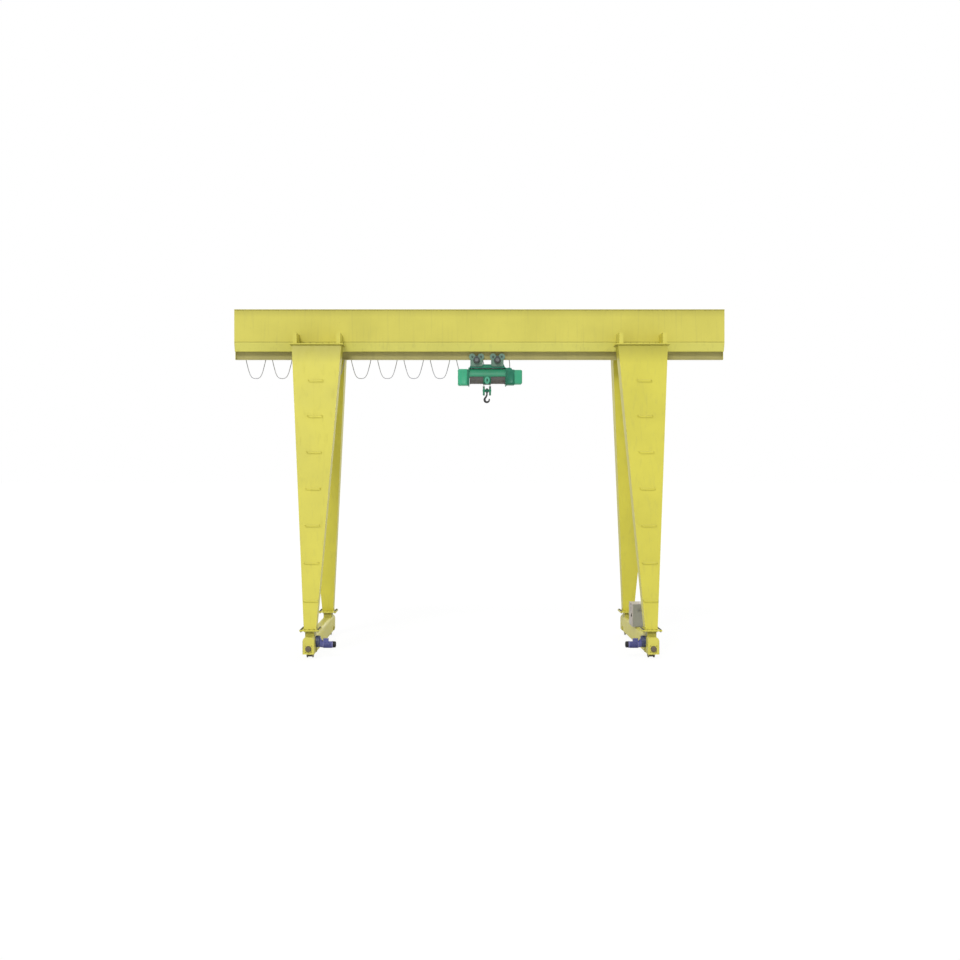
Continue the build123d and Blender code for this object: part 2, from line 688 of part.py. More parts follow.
def make_fan_cover(x_side):
    _, _, end = drive_places(x_side)
    y = -HALF_BASE
    solid = rod_x(end, end - x_side * FAN_COVER_LENGTH, y, TRAVEL_MOTOR_HEIGHT, TRAVEL_MOTOR_R)
    rim = solid.edges().filter_by(GeomType.CIRCLE).sort_by(Axis.X)
    return fillet(rim[-1] if x_side < 0 else rim[0], FAN_COVER_ROUND)


def make_cabinet():
    left = HALF_SPAN - CARRIAGE_WIDTH / 2 - CABINET_INNER_OVERHANG
    solid = box_between(
        left, left + CABINET_WIDTH, CABINET_FRONT, CABINET_FRONT + CABINET_DEPTH,
        CARRIAGE_TOP, CARRIAGE_TOP + CABINET_HEIGHT)
    return fillet(solid.edges().filter_by(Axis.Z), CABINET_EDGE_R)


# Hoist

def make_shell():
    """Half-round cover over the drum, open below."""
    tube = rod_x(SHELL_LEFT, SHELL_RIGHT, 0, HOIST_Z, SHELL_R)
    tube -= rod_x(SHELL_LEFT, SHELL_RIGHT, 0, HOIST_Z, SHELL_R - SHELL_T)
    cut = box_between(
        SHELL_LEFT - CUT_OVERRUN, SHELL_RIGHT + CUT_OVERRUN, -SHELL_R - CUT_OVERRUN, SHELL_R + CUT_OVERRUN,
        HOIST_Z - SHELL_R - CUT_OVERRUN, HOIST_Z - SHELL_EDGE_DROP)
    return tube - cut


def make_drum():
    left = SHELL_LEFT + DRUM_END_GAP
    right = SHELL_RIGHT - DRUM_END_GAP
    points = [
        (SHELL_LEFT - END_FRAME_T, 0),
        (SHELL_LEFT - END_FRAME_T, DRUM_SHAFT_R),
        (left, DRUM_SHAFT_R),
        (left, DRUM_FLANGE_R),
        (left + DRUM_FLANGE_T, DRUM_FLANGE_R),
        (left + DRUM_FLANGE_T, DRUM_R),
        (right - DRUM_FLANGE_T, DRUM_R),
        (right - DRUM_FLANGE_T, DRUM_FLANGE_R),
        (right, DRUM_FLANGE_R),
        (right, DRUM_SHAFT_R),
        (SHELL_RIGHT + END_FRAME_T, DRUM_SHAFT_R),
        (SHELL_RIGHT + END_FRAME_T, 0),
    ]
    return turned_x(points, 0, 0, HOIST_Z)


def end_frame(x0, x1):
    """Plate that closes the shell and carries the drum's shaft."""
    half = END_FRAME_HALF_WIDTH
    cut = END_FRAME_CHAMFER
    points = [
        (half, END_FRAME_TOP - cut), (half - cut, END_FRAME_TOP),
        (cut - half, END_FRAME_TOP), (-half, END_FRAME_TOP - cut),
        (-half, END_FRAME_BOTTOM + cut), (cut - half, END_FRAME_BOTTOM),
        (half - cut, END_FRAME_BOTTOM), (half, END_FRAME_BOTTOM + cut),
    ]
    return prism_x(points, x0, x1) - rod_x(x0, x1, 0, HOIST_Z, DRUM_SHAFT_R + RUNNING_GAP)


def make_end_frames():
    left = end_frame(SHELL_LEFT - END_FRAME_T, SHELL_LEFT)
    left += rod_x(COLLAR_LEFT, SHELL_LEFT - END_FRAME_T, 0, HOIST_Z, COLLAR_R)
    return left, end_frame(SHELL_RIGHT, GEARBOX_LEFT)


def make_electric_box():
    solid = box_between(
        COLLAR_LEFT - ELECTRIC_BOX_LENGTH, COLLAR_LEFT, -ELECTRIC_BOX_HALF_DEPTH, ELECTRIC_BOX_HALF_DEPTH,
        ELECTRIC_BOX_BOTTOM, ELECTRIC_BOX_TOP)
    outer_face = solid.faces().sort_by(Axis.X)[0]
    return fillet(solid.edges().filter_by(Axis.X) + outer_face.edges(), BOX_EDGE_R)


def make_gearbox():
    """Cast housing whose top steps down towards the motor."""
    step = GEARBOX_LEFT + GEARBOX_STEP
    points = [
        (GEARBOX_LEFT, GEARBOX_BOTTOM), (MOTOR_COVER_LEFT, GEARBOX_BOTTOM),
        (MOTOR_COVER_LEFT, GEARBOX_SHOULDER), (step + GEARBOX_STEP_RUN, GEARBOX_SHOULDER),
        (step, GEARBOX_TOP), (GEARBOX_LEFT, GEARBOX_TOP),
    ]
    solid = prism_y(outline(points), -GEARBOX_HALF_DEPTH, GEARBOX_HALF_DEPTH)
    lower = solid.edges().filter_by(Axis.X).sort_by(Axis.Z)[:2]
    return fillet(lower, GEARBOX_CORNER_R)


def make_motor_cover():
    solid = box_between(
        MOTOR_COVER_LEFT, MOTOR_COVER_LEFT + MOTOR_COVER_LENGTH,
        -MOTOR_COVER_HALF_DEPTH, MOTOR_COVER_HALF_DEPTH, MOTOR_COVER_BOTTOM, MOTOR_COVER_TOP)
    outer_face = solid.faces().sort_by(Axis.X)[-1]
    return fillet(solid.edges().filter_by(Axis.X) + outer_face.edges(), MOTOR_COVER_R)


def gland_place():
    """Where the festoon cable enters the hoist, on top of the gearbox."""
    x = GEARBOX_LEFT + GEARBOX_STEP - GLAND_R - GLAND_EDGE_GAP
    return x, GEARBOX_HALF_DEPTH - GLAND_R


def make_gland():
    x, y = gland_place()
    return rod_z(GEARBOX_TOP, GEARBOX_TOP + GLAND_HEIGHT, x, y, GLAND_R)


def guide_entry_z():
    """Height of the guide's outer surface above the hook block's rope falls."""
    return HOIST_Z - (GUIDE_R ** 2 - ROPE_PITCH_R ** 2) ** 0.5


def make_rope_guide():
    left = HOOK_X - GUIDE_WIDTH / 2
    right = HOOK_X + GUIDE_WIDTH / 2
    ring = rod_x(left, right, 0, HOIST_Z, GUIDE_R) - rod_x(left, right, 0, HOIST_Z, DRUM_R + GUIDE_BORE_GAP)
    for side in (-1, 1):
        for y in (-ROPE_PITCH_R, ROPE_PITCH_R):
            ring -= rod_z(
                HOIST_Z - GUIDE_R, guide_entry_z() + ROPE_ENTRY, sheave_x(side), y, ROPE_R + RUNNING_GAP)
    return ring


def make_nozzle():
    """Oval rope outlet on the front of the guide, with its slot."""
    height = NOZZLE_TOP - NOZZLE_BOTTOM
    middle = (NOZZLE_TOP + NOZZLE_BOTTOM) / 2
    oval = Pos(HOOK_X, middle) * Ellipse(NOZZLE_WIDTH / 2, height / 2)
    slot = Pos(HOOK_X, middle) * Ellipse(NOZZLE_SLOT_WIDTH / 2, NOZZLE_SLOT_LENGTH / 2)
    solid = prism_y(oval, -NOZZLE_FACE, -ROPE_PITCH_R)
    solid -= rod_x(HOOK_X - NOZZLE_WIDTH, HOOK_X + NOZZLE_WIDTH, 0, HOIST_Z, GUIDE_R)
    return solid - prism_y(slot, -NOZZLE_FACE - CUT_OVERRUN, -NOZZLE_FACE + NOZZLE_SLOT_DEPTH)


# Trolley

def bogie_plate(x, y0, y1):
    """Side plate with an ear over each wheel and a dip between them."""
    half = BOGIE_PLATE_WIDTH / 2
    body = Pos(x, (BOGIE_PLATE_BOTTOM + BOGIE_PLATE_DIP) / 2) * Rectangle(
        BOGIE_PLATE_WIDTH, BOGIE_PLATE_DIP - BOGIE_PLATE_BOTTOM)
    body = fillet(body.vertices().sort_by(Axis.Y)[:2], BOGIE_CORNER_R)
    for side in (-1, 1):
        ear_x = x + side * BOGIE_WHEEL_SPACING / 2
        body += Pos(ear_x, TROLLEY_AXLE_Z) * Circle(BOGIE_EAR_R)
        flank = x + side * (half - BOGIE_EAR_R / 2)
        body += Pos(flank, BOGIE_PLATE_DIP - BOGIE_EAR_R / 2) * Rectangle(BOGIE_EAR_R, BOGIE_EAR_R)
    for side in (-1, 1):
        ear_x = x + side * BOGIE_WHEEL_SPACING / 2
        body -= Pos(ear_x, TROLLEY_AXLE_Z) * Circle(TROLLEY_AXLE_R + RUNNING_GAP)
    return prism_y(body, y0, y1)


def make_bogie(x):
    """Two side plates joined by the pin that carries the hoist."""
    outer = BOGIE_PLATE_INNER + BOGIE_PLATE_T
    solid = bogie_plate(x, -outer, -BOGIE_PLATE_INNER)
    solid += bogie_plate(x, BOGIE_PLATE_INNER, outer)
    solid += rod_y(-outer, outer, x, BOGIE_PIN_Z, BOGIE_PIN_R)
    return solid


def trolley_wheel(x, y_side):
    """One flanged wheel with its stub axle through the side plate."""
    inner = RUNWAY_WEB_T / 2 + TROLLEY_WHEEL_WEB_GAP
    lip = RUNWAY_FLANGE_WIDTH / 2 + TROLLEY_WHEEL_LIP_GAP
    face = lip + TROLLEY_WHEEL_LIP_T
    end = BOGIE_PLATE_INNER + BOGIE_PLATE_T + TROLLEY_AXLE_END
    points = [
        (inner, 0),
        (inner, TROLLEY_WHEEL_HUB_R),
        (inner + TROLLEY_WHEEL_DISH, TROLLEY_WHEEL_HUB_R),
        (inner + TROLLEY_WHEEL_DISH, TROLLEY_WHEEL_RIM_R),
        (inner, TROLLEY_WHEEL_RIM_R),
        (inner, TROLLEY_WHEEL_R),
        (lip, TROLLEY_WHEEL_R),
        (lip, TROLLEY_WHEEL_LIP_R),
        (face, TROLLEY_WHEEL_LIP_R),
        (face, TROLLEY_AXLE_R),
        (end, TROLLEY_AXLE_R),
        (end, 0),
    ]
    wheel = revolve(outline(points), axis=Axis.X)
    return Pos(x, 0, TROLLEY_AXLE_Z) * Rot(0, 0, y_side * 90) * wheel


def make_drive(x):
    """Round trolley drive on the outer face of a front side plate."""
    length = DRIVE_LENGTH
    points = [
        (0, 0), (0, DRIVE_R), (length - DRIVE_CHAMFER, DRIVE_R), (length, DRIVE_R - DRIVE_CHAMFER),
        (length, DRIVE_CAP_R), (length + DRIVE_CAP_T, DRIVE_CAP_R), (length + DRIVE_CAP_T, 0),
    ]
    body = revolve(outline(points), axis=Axis.X)
    return Pos(x, -BOGIE_PLATE_INNER - BOGIE_PLATE_T, DRIVE_Z) * Rot(0, 0, -90) * body


def frame_side(y0, y1):
    """Suspension side plate with a lug up to each bogie pin and an arch in the middle."""
    base = END_FRAME_TOP + FRAME_BASE_T
    sketch = outline([
        (SHELL_LEFT, base), (SHELL_RIGHT, base),
        (SHELL_RIGHT - FRAME_SHOULDER, FRAME_TOP), (SHELL_LEFT + FRAME_SHOULDER, FRAME_TOP),
    ])
    for x in (BOGIE_LEFT_X, BOGIE_RIGHT_X):
        sketch += Pos(x, (FRAME_TOP + BOGIE_PIN_Z) / 2) * Rectangle(2 * FRAME_LUG_R, BOGIE_PIN_Z - FRAME_TOP)
        sketch += Pos(x, BOGIE_PIN_Z) * Circle(FRAME_LUG_R)
        sketch -= Pos(x, BOGIE_PIN_Z) * Circle(BOGIE_PIN_R + RUNNING_GAP)
    sketch -= Pos(HOOK_X, base) * Ellipse(SADDLE_WIDTH / 2 + RUNNING_GAP, SADDLE_HEIGHT + RUNNING_GAP)
    return prism_y(sketch, y0, y1)


def make_suspension_frame():
    base = box_between(
        SHELL_LEFT - END_FRAME_T, GEARBOX_LEFT, -FRAME_BASE_HALF_WIDTH, FRAME_BASE_HALF_WIDTH,
        END_FRAME_TOP, END_FRAME_TOP + FRAME_BASE_T)
    outer = BOGIE_PLATE_INNER - FRAME_LUG_GAP
    inner = outer - FRAME_PLATE_T
    return base + frame_side(-outer, -inner) + frame_side(inner, outer)


def make_saddle():
    """Half-oval saddle between the suspension plates."""
    base = END_FRAME_TOP + FRAME_BASE_T
    oval = Pos(HOOK_X, base) * Ellipse(SADDLE_WIDTH / 2, SADDLE_HEIGHT)
    lower = Pos(HOOK_X, base - SADDLE_HEIGHT) * Rectangle(2 * SADDLE_WIDTH, 2 * SADDLE_HEIGHT)
    return prism_y(oval - lower, -SADDLE_HALF_DEPTH, SADDLE_HALF_DEPTH)


# Hook block

def sheave_x(side):
    return HOOK_X + side * SHEAVE_SPACING / 2


def make_sheave(side):
    """Grooved rope sheave on the crosshead's trunnion."""
    half = SHEAVE_WIDTH / 2
    web = SHEAVE_WEB_T / 2
    bore = TRUNNION_R + RUNNING_GAP
    floor = ROPE_PITCH_R - ROPE_R - RUNNING_GAP
    rim = floor - SHEAVE_RIM_T / 2
    points = [
        (-half, bore), (-half, SHEAVE_HUB_R), (-web, SHEAVE_HUB_R), (-web, rim), (-half, rim),
        (-half, SHEAVE_R), (-GROOVE_OPENING, SHEAVE_R), (-ROPE_R, floor), (ROPE_R, floor),
        (GROOVE_OPENING, SHEAVE_R), (half, SHEAVE_R), (half, rim), (web, rim), (web, SHEAVE_HUB_R),
        (half, SHEAVE_HUB_R), (half, bore),
    ]
    return turned_x(points, sheave_x(side), 0, SHEAVE_Z)


def make_guard(side):
    """Two cheeks and a rim round the lower half of a sheave."""
    x = sheave_x(side)
    half = SHEAVE_WIDTH / 2 + GUARD_SIDE_GAP
    outer = half + GUARD_T
    solid = rod_x(x - outer, x + outer, 0, SHEAVE_Z, GUARD_R)
    solid -= rod_x(x - half, x + half, 0, SHEAVE_Z, GUARD_R - GUARD_T)
    solid -= box_between(
        x - half, x + half, -GUARD_R - CUT_OVERRUN, GUARD_R + CUT_OVERRUN, SHEAVE_Z,
        SHEAVE_Z + GUARD_R + CUT_OVERRUN)
    return solid - rod_x(x - outer, x + outer, 0, SHEAVE_Z, TRUNNION_R + RUNNING_GAP)


def make_crosshead():
    """Bar that carries the hook, with a trunnion through each sheave."""
    guard_half = SHEAVE_WIDTH / 2 + GUARD_SIDE_GAP + GUARD_T
    reach = SHEAVE_SPACING / 2 - guard_half - GUARD_SIDE_GAP
    block = box_between(
        HOOK_X - reach, HOOK_X + reach, -CROSSHEAD_HALF_DEPTH, CROSSHEAD_HALF_DEPTH,
        SHEAVE_Z - CROSSHEAD_HALF_HEIGHT, SHEAVE_Z + CROSSHEAD_HALF_HEIGHT)
    block = fillet(block.edges().filter_by(Axis.X), CROSSHEAD_ROUND)
    end = SHEAVE_SPACING / 2 + guard_half + TRUNNION_END
    block += rod_x(HOOK_X - end, HOOK_X + end, 0, SHEAVE_Z, TRUNNION_R)
    low = SHEAVE_Z - CROSSHEAD_HALF_HEIGHT - CUT_OVERRUN
    high = SHEAVE_Z + CROSSHEAD_HALF_HEIGHT + CUT_OVERRUN
    return block - rod_z(low, high, HOOK_X, 0, SHANK_R + RUNNING_GAP)


def hook_stations():
    """Centre (x, z) and radius of each section, from the shank down and round to the tip."""
    mean_r = BOWL_INNER_R + BOWL_THICK / 2
    stations = [(0, SHANK_BOTTOM - BOWL_Z, SHANK_R)]
    for degrees, radius_share, thick_share in HOOK_TURN_SHARES:
        angle = radians(degrees)
        radius = mean_r * radius_share
        stations.append((radius * cos(angle), radius * sin(angle), BOWL_THICK * thick_share))
    return stations


def make_hook():
    """Forged hook lofted through round sections, with its shank and nut."""
    stations = hook_stations()
    sections = []
    for index, (x, z, radius) in enumerate(stations):
        before = stations[max(index - 1, 0)]
        after = stations[min(index + 1, len(stations) - 1)]
        heading = Vector(after[0] - before[0], 0, after[1] - before[1])
        if index == 0:
            heading = Vector(0, 0, -1)
        plane = Plane(origin=(HOOK_X + x, 0, BOWL_Z + z), x_dir=(0, 1, 0), z_dir=heading)
        sections.append(plane * Circle(radius))
    solid = loft(sections)
    solid += rod_z(SHANK_BOTTOM, SHANK_TOP, HOOK_X, 0, SHANK_R)
    nut_base = SHEAVE_Z + CROSSHEAD_HALF_HEIGHT + RUNNING_GAP
    nut = extrude(Plane(origin=(HOOK_X, 0, nut_base)) * RegularPolygon(HOOK_NUT_R, 6), amount=HOOK_NUT_T)
    return solid + nut


def make_ropes():
    """Four rope falls from the guide on the drum to the two sheaves."""
    falls = []
    top = guide_entry_z() + ROPE_ENTRY
    for side in (-1, 1):
        for y in (-ROPE_PITCH_R, ROPE_PITCH_R):
            falls.append(rod_z(SHEAVE_Z, top, sheave_x(side), y, ROPE_R))
    return falls


def make_rope_wraps():
    """Rope lying round the lower half of each sheave."""
    wraps = []
    for side in (-1, 1):
        section = Plane.XZ * Pos(0, ROPE_PITCH_R) * Circle(ROPE_R)
        half_turn = revolve(section, axis=Axis.X, revolution_arc=180)
        low = half_turn if half_turn.center().Y < 0 else Rot(180, 0, 0) * half_turn
        wraps.append(Pos(sheave_x(side), 0, SHEAVE_Z) * Rot(90, 0, 0) * low)
    return wraps


# Festoon

def make_festoon_rail():
    """C-shaped track under the arms, hung from the girder's rear web."""
    half = FESTOON_RAIL_WIDTH / 2
    wall = FESTOON_RAIL_T
    low = FESTOON_RAIL_TOP - FESTOON_RAIL_HEIGHT
    lip = half - FESTOON_RAIL_LIP
    half_section = [
        (half, FESTOON_RAIL_TOP), (half, low), (lip, low), (lip, low + wall),
        (half - wall, low + wall), (half - wall, FESTOON_RAIL_TOP - wall),
    ]
    points = [(FESTOON_Y + y, z) for y, z in half_section]
    points += [(FESTOON_Y - y, z) for y, z in half_section[::-1]]
    reach = HALF_LENGTH - END_PLATE_T
    return prism_x(points, -reach, FESTOON_RAIL_END)


def festoon_arm_places():
    """X of the rail's hanger arms, clear of the leg brackets."""
    places = []
    x = FESTOON_ARM_FIRST
    while x < FESTOON_RAIL_END:
        near_bracket = abs(abs(x) - HALF_SPAN) < HEAD_FLANGE_WIDTH / 2 + FESTOON_ARM_LENGTH
        if not near_bracket:
            places.append(x)
        x += FESTOON_ARM_PITCH
    return places


def make_festoon_arms():
    """Small angle arms between the web and the top of the rail."""
    arms = []
    for x in festoon_arm_places():
        half = FESTOON_ARM_LENGTH / 2
        outer = FESTOON_Y + FESTOON_RAIL_WIDTH / 2
        upright = box_between(
            x - half, x + half, HALF_WIDTH, HALF_WIDTH + FESTOON_ARM_T,
            FESTOON_RAIL_TOP, WEB_BOTTOM + FESTOON_ARM_LENGTH)
        foot = box_between(
            x - half, x + half, HALF_WIDTH, outer, FESTOON_RAIL_TOP, FESTOON_RAIL_TOP + FESTOON_ARM_T)
        arms.append(upright + foot)
    return arms


def carrier_places():
    """X of the cable saddles; the last is the one above the hoist."""
    return [FESTOON_FIRST + index * FESTOON_PITCH for index in range(FESTOON_COUNT + 1)]


def make_carrier(x):
    """Saddle under the cable, with a hanger plate up to the rail."""
    radius = SADDLE_R - CABLE_R - RUNNING_GAP
    half = SADDLE_THICK / 2
    solid = rod_y(FESTOON_Y - half, FESTOON_Y + half, x, SADDLE_Z, radius)
    solid -= box_between(
        x - 2 * radius, x + 2 * radius, FESTOON_Y - SADDLE_THICK, FESTOON_Y + SADDLE_THICK,
        SADDLE_Z - 2 * radius, SADDLE_Z)
    inner = FESTOON_Y - half
    rail_low = FESTOON_RAIL_TOP - FESTOON_RAIL_HEIGHT
    roof = rail_low - SADDLE_SIDE_GAP
    wide = HANGER_WIDTH / 2
    solid += box_between(x - wide, x + wide, inner - HANGER_T, inner, SADDLE_Z, roof)
    solid += box_between(x - wide, x + wide, inner - HANGER_T, FESTOON_Y + half, roof - HANGER_T, roof)
    stem = FESTOON_RAIL_WIDTH / 2 - FESTOON_RAIL_LIP - FESTOON_RAIL_T
    head = FESTOON_RAIL_WIDTH / 2 - FESTOON_RAIL_T - RUNNING_GAP
    ledge = rail_low + FESTOON_RAIL_T + RUNNING_GAP
    solid += box_between(x - wide, x + wide, FESTOON_Y - stem, FESTOON_Y + stem, roof, ledge)
    solid += box_between(
        x - wide, x + wide, FESTOON_Y - head, FESTOON_Y + head, ledge, ledge + 2 * FESTOON_RAIL_T)
    return solid


# The cable's route: points (distance from the loop's middle, height) down one limb of a loop
LIMB_ROUTE = ((321, 9195), (316, 9000), (256, 8760), (192, 8530), (103, 8404))
SADDLE_TOP_Z = 9250
LAST_LIMB_ROUTE = ((937, 300, 9195), (948, 300, 9010), (966, 262, 8885), (965, 208, 8815))


def cable_route():
    """Points of the festoon cable from the fixed clamp at the left end to the hoist."""
    edge = FESTOON_PITCH / 2 - LIMB_ROUTE[0][0]
    route = [
        (FESTOON_FIRST - edge, FESTOON_Y, LIMB_ROUTE[0][1]),
        (FESTOON_FIRST, FESTOON_Y, SADDLE_TOP_Z),
    ]
    for index in range(FESTOON_COUNT):
        middle = FESTOON_FIRST + (index + 0.5) * FESTOON_PITCH
        route += [(middle - dx, FESTOON_Y, z) for dx, z in LIMB_ROUTE]
        route += [(middle + dx, FESTOON_Y, z) for dx, z in LIMB_ROUTE[::-1]]
        route.append((middle + FESTOON_PITCH / 2, FESTOON_Y, SADDLE_TOP_Z))
    x, y = gland_place()
    route += LAST_LIMB_ROUTE
    route.append((x, y, GEARBOX_TOP + GLAND_HEIGHT))
    return route


def corner_radii(route):
    """Largest arc that the two runs beside each corner allow."""
    radii = []
    for before, here, after in zip(route, route[1:], route[2:]):
        first = Vector(*here) - Vector(*before)
        second = Vector(*after) - Vector(*here)
        half_turn = radians(first.get_angle(second)) / 2
        radii.append(CORNER_ARC_SHARE * min(first.length, second.length) / tan(half_turn))
    return radii


def make_cable():
    route = cable_route()
    radii = corner_radii(route)
    print("cable radii in diameters:", sorted(round(r / CABLE_R / 2, 1) for r in radii)[:12])
    path = FilletPolyline(*route, radius=radii)
    start = Vector(*route[0])
    heading = Vector(*route[1]) - start
    solid = sweep(Plane(origin=start, z_dir=heading) * Circle(CABLE_R), path=path)
    expected = pi * CABLE_R ** 2 * path.length
    print("cable length", round(path.length), "volume ratio", round(solid.volume / expected, 4))
    return solid


def main():
    os.makedirs("parts", exist_ok=True)
    make_girder()
    make_runway()
    for x_name, x_side in (("left", -1), ("right", 1)):
        for y_name, y_side in (("front", -1), ("rear", 1)):
            save(f"bracket_{y_name}_{x_name}", make_bracket(x_side, y_side))
            save(f"leg_{y_name}_{x_name}", make_leg(x_side, y_side))
            wheel = make_travel_wheel(x_side * HALF_SPAN, y_side * HALF_BASE)
            save(f"travel_wheel_{y_name}_{x_name}", wheel)
        save(f"ladder_rungs_{x_name}", *make_rungs(x_side))
        save(f"end_carriage_{x_name}", make_carriage(x_side))
        save(f"gear_case_{x_name}", make_gear_case(x_side))
        save(f"travel_motor_{x_name}", make_travel_motor(x_side))
        save(f"hook_sheave_{x_name}", make_sheave(x_side))
    save("bearing_caps", *make_bearing_caps())
    save("buffers", *[make_buffer(x_side, y_side) for x_side in (-1, 1) for y_side in (-1, 1)])
    save("fan_covers", make_fan_cover(-1), make_fan_cover(1))
    save("control_cabinet", make_cabinet())
    save("hoist_shell", make_shell())
    save("rope_drum", make_drum())
    save("hoist_end_frames", *make_end_frames())
    save("electric_box", make_electric_box())
    save("hoist_gearbox", make_gearbox())
    save("hoist_motor_cover", make_motor_cover())
    save("cable_gland", make_gland())
    save("rope_guide", make_rope_guide())
    save("rope_nozzle", make_nozzle())
    save("bogie_left", make_bogie(BOGIE_LEFT_X))
    save("bogie_right", make_bogie(BOGIE_RIGHT_X))
    save("trolley_drives", make_drive(BOGIE_LEFT_X), make_drive(BOGIE_RIGHT_X))
    axle_number = 0
    for bogie_x in (BOGIE_LEFT_X, BOGIE_RIGHT_X):
        for side in (-1, 1):
            axle_number += 1
            x = bogie_x + side * BOGIE_WHEEL_SPACING / 2
            save(f"trolley_wheels_{axle_number}", trolley_wheel(x, -1), trolley_wheel(x, 1))
    save("suspension_frame", make_suspension_frame())
    save("suspension_saddle", make_saddle())
    save("sheave_guards", make_guard(-1), make_guard(1))
    save("hook_crosshead", make_crosshead())
    save("hook", make_hook())
    save("hoist_ropes", *make_ropes())
    save("rope_wraps", *make_rope_wraps())
    save("festoon_rail", make_festoon_rail())
    save("festoon_arms", *make_festoon_arms())
    save("festoon_carriers", *[make_carrier(x) for x in carrier_places()])
    save("festoon_cable", make_cable())


main()
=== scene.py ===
"""Single-girder gantry crane with a wire rope hoist, dressed over its CAD frame. Metres."""
import math
import random

import bpy
from mathutils import Matrix, Vector


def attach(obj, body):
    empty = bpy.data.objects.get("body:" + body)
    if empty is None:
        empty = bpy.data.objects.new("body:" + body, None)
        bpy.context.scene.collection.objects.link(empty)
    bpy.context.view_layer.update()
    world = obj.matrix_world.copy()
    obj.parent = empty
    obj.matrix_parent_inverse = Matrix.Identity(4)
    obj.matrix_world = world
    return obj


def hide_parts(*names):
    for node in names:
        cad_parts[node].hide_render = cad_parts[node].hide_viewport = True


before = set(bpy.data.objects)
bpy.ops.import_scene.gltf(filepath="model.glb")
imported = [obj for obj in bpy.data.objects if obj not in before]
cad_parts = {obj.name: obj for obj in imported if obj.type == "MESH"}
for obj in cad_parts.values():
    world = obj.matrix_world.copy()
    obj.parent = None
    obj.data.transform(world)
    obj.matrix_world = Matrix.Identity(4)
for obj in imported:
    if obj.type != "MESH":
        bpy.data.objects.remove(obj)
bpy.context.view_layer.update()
random.seed(41)

UP = Vector((0, 0, 1))
SIDES = (-1, 1)
FEET = [(x_side, y_side) for x_side in SIDES for y_side in SIDES]
CRANE = "crane"
TROLLEY = "trolley"

# Places that several pieces share, as in the CAD source
HALF_SPAN = 5.0
WHEEL_Y = 2.745
WHEEL_Z = 0.225
DRUM_Z = 8.435
HOOK_X = 0.242
BOGIE_CENTRES = (-0.085, 0.567)


# Camera, at the photographer's place

camera = bpy.data.objects.new("photo_camera", bpy.data.cameras.new("photo_camera"))
bpy.context.scene.collection.objects.link(camera)
camera.location = (-0.629, -41.89, 5.352)
camera.rotation_euler = (math.radians(90), 0, 0)
camera.data.lens = 50
camera.data.sensor_width = 36
camera.data.shift_x = 0.02165
camera.data.shift_y = -0.0052
camera.data.clip_end = 2000
bpy.context.scene.camera = camera
bpy.context.scene.view_settings.view_transform = "Standard"


# Materials

class Value:
    """A shader socket that takes part in sums like a number."""

    def __init__(self, finish, socket):
        self.finish = finish
        self.socket = socket

    def _sum(self, operation, first, second):
        return self.finish.node("ShaderNodeMath", {"operation": operation}, {0: first, 1: second})

    def __add__(self, other):
        return self._sum("ADD", self, other)

    def __sub__(self, other):
        return self._sum("SUBTRACT", self, other)

    def __rsub__(self, other):
        return self._sum("SUBTRACT", other, self)

    def __mul__(self, other):
        return self._sum("MULTIPLY", self, other)

    __radd__ = __add__
    __rmul__ = __mul__


class Finish:
    """A surface finish, built up node by node on object coordinates."""

    def __init__(self, name, colour, roughness, metallic=0.0):
        self.material = bpy.data.materials.new(name)
        self.material.use_nodes = True
        self.tree = self.material.node_tree
        self.shader = self.tree.nodes["Principled BSDF"]
        self.shader.inputs["Base Color"].default_value = (*colour, 1)
        self.shader.inputs["Roughness"].default_value = roughness
        self.shader.inputs["Metallic"].default_value = metallic
        self.shader.inputs["Specular IOR Level"].default_value = 0.35
        self.where = self.node("ShaderNodeTexCoord", {}, {}, "Object")

    def node(self, kind, settings, inputs, output=0):
        """Add a node with its settings, link or fill its inputs, and return one output."""
        made = self.tree.nodes.new(kind)
        for key, value in settings.items():
            setattr(made, key, value)
        for key, value in inputs.items():
            if isinstance(value, Value):
                self.tree.links.new(value.socket, made.inputs[key])
            else:
                made.inputs[key].default_value = value
        return Value(self, made.outputs[output])

    def noise(self, scale, detail=3.0, stretch=(1, 1, 1)):
        """Cloudy pattern; a stretch below 1 draws it out along that axis."""
        spot = self.node(
            "ShaderNodeVectorMath", {"operation": "MULTIPLY"}, {0: self.where, 1: stretch})
        return self.node(
            "ShaderNodeTexNoise", {}, {"Vector": spot, "Scale": scale, "Detail": detail})

    def band(self, value, low, high):
        """Spread the stretch from low to high over 0 to 1, and clip the rest."""
        return self.node(
            "ShaderNodeMapRange", {}, {"Value": value, "From Min": low, "From Max": high})

    def tint(self, amount, base, other):
        """Mix a colour into the base by an amount."""
        sides = [side if isinstance(side, Value) else (*side, 1) for side in (base, other)]
        return self.node(
            "ShaderNodeMix", {"data_type": "RGBA"}, {0: amount, 6: sides[0], 7: sides[1]}, 2)

    def wear(self, socket, value):
        """Let a value drive one of the shader's inputs."""
        self.tree.links.new(value.socket, self.shader.inputs[socket])

    def grain(self, value, strength, distance):
        """Raise a value as fine bumps on the surface."""
        bump = self.node(
            "ShaderNodeBump", {}, {"Height": value, "Strength": strength, "Distance": distance})
        self.wear("Normal", bump)


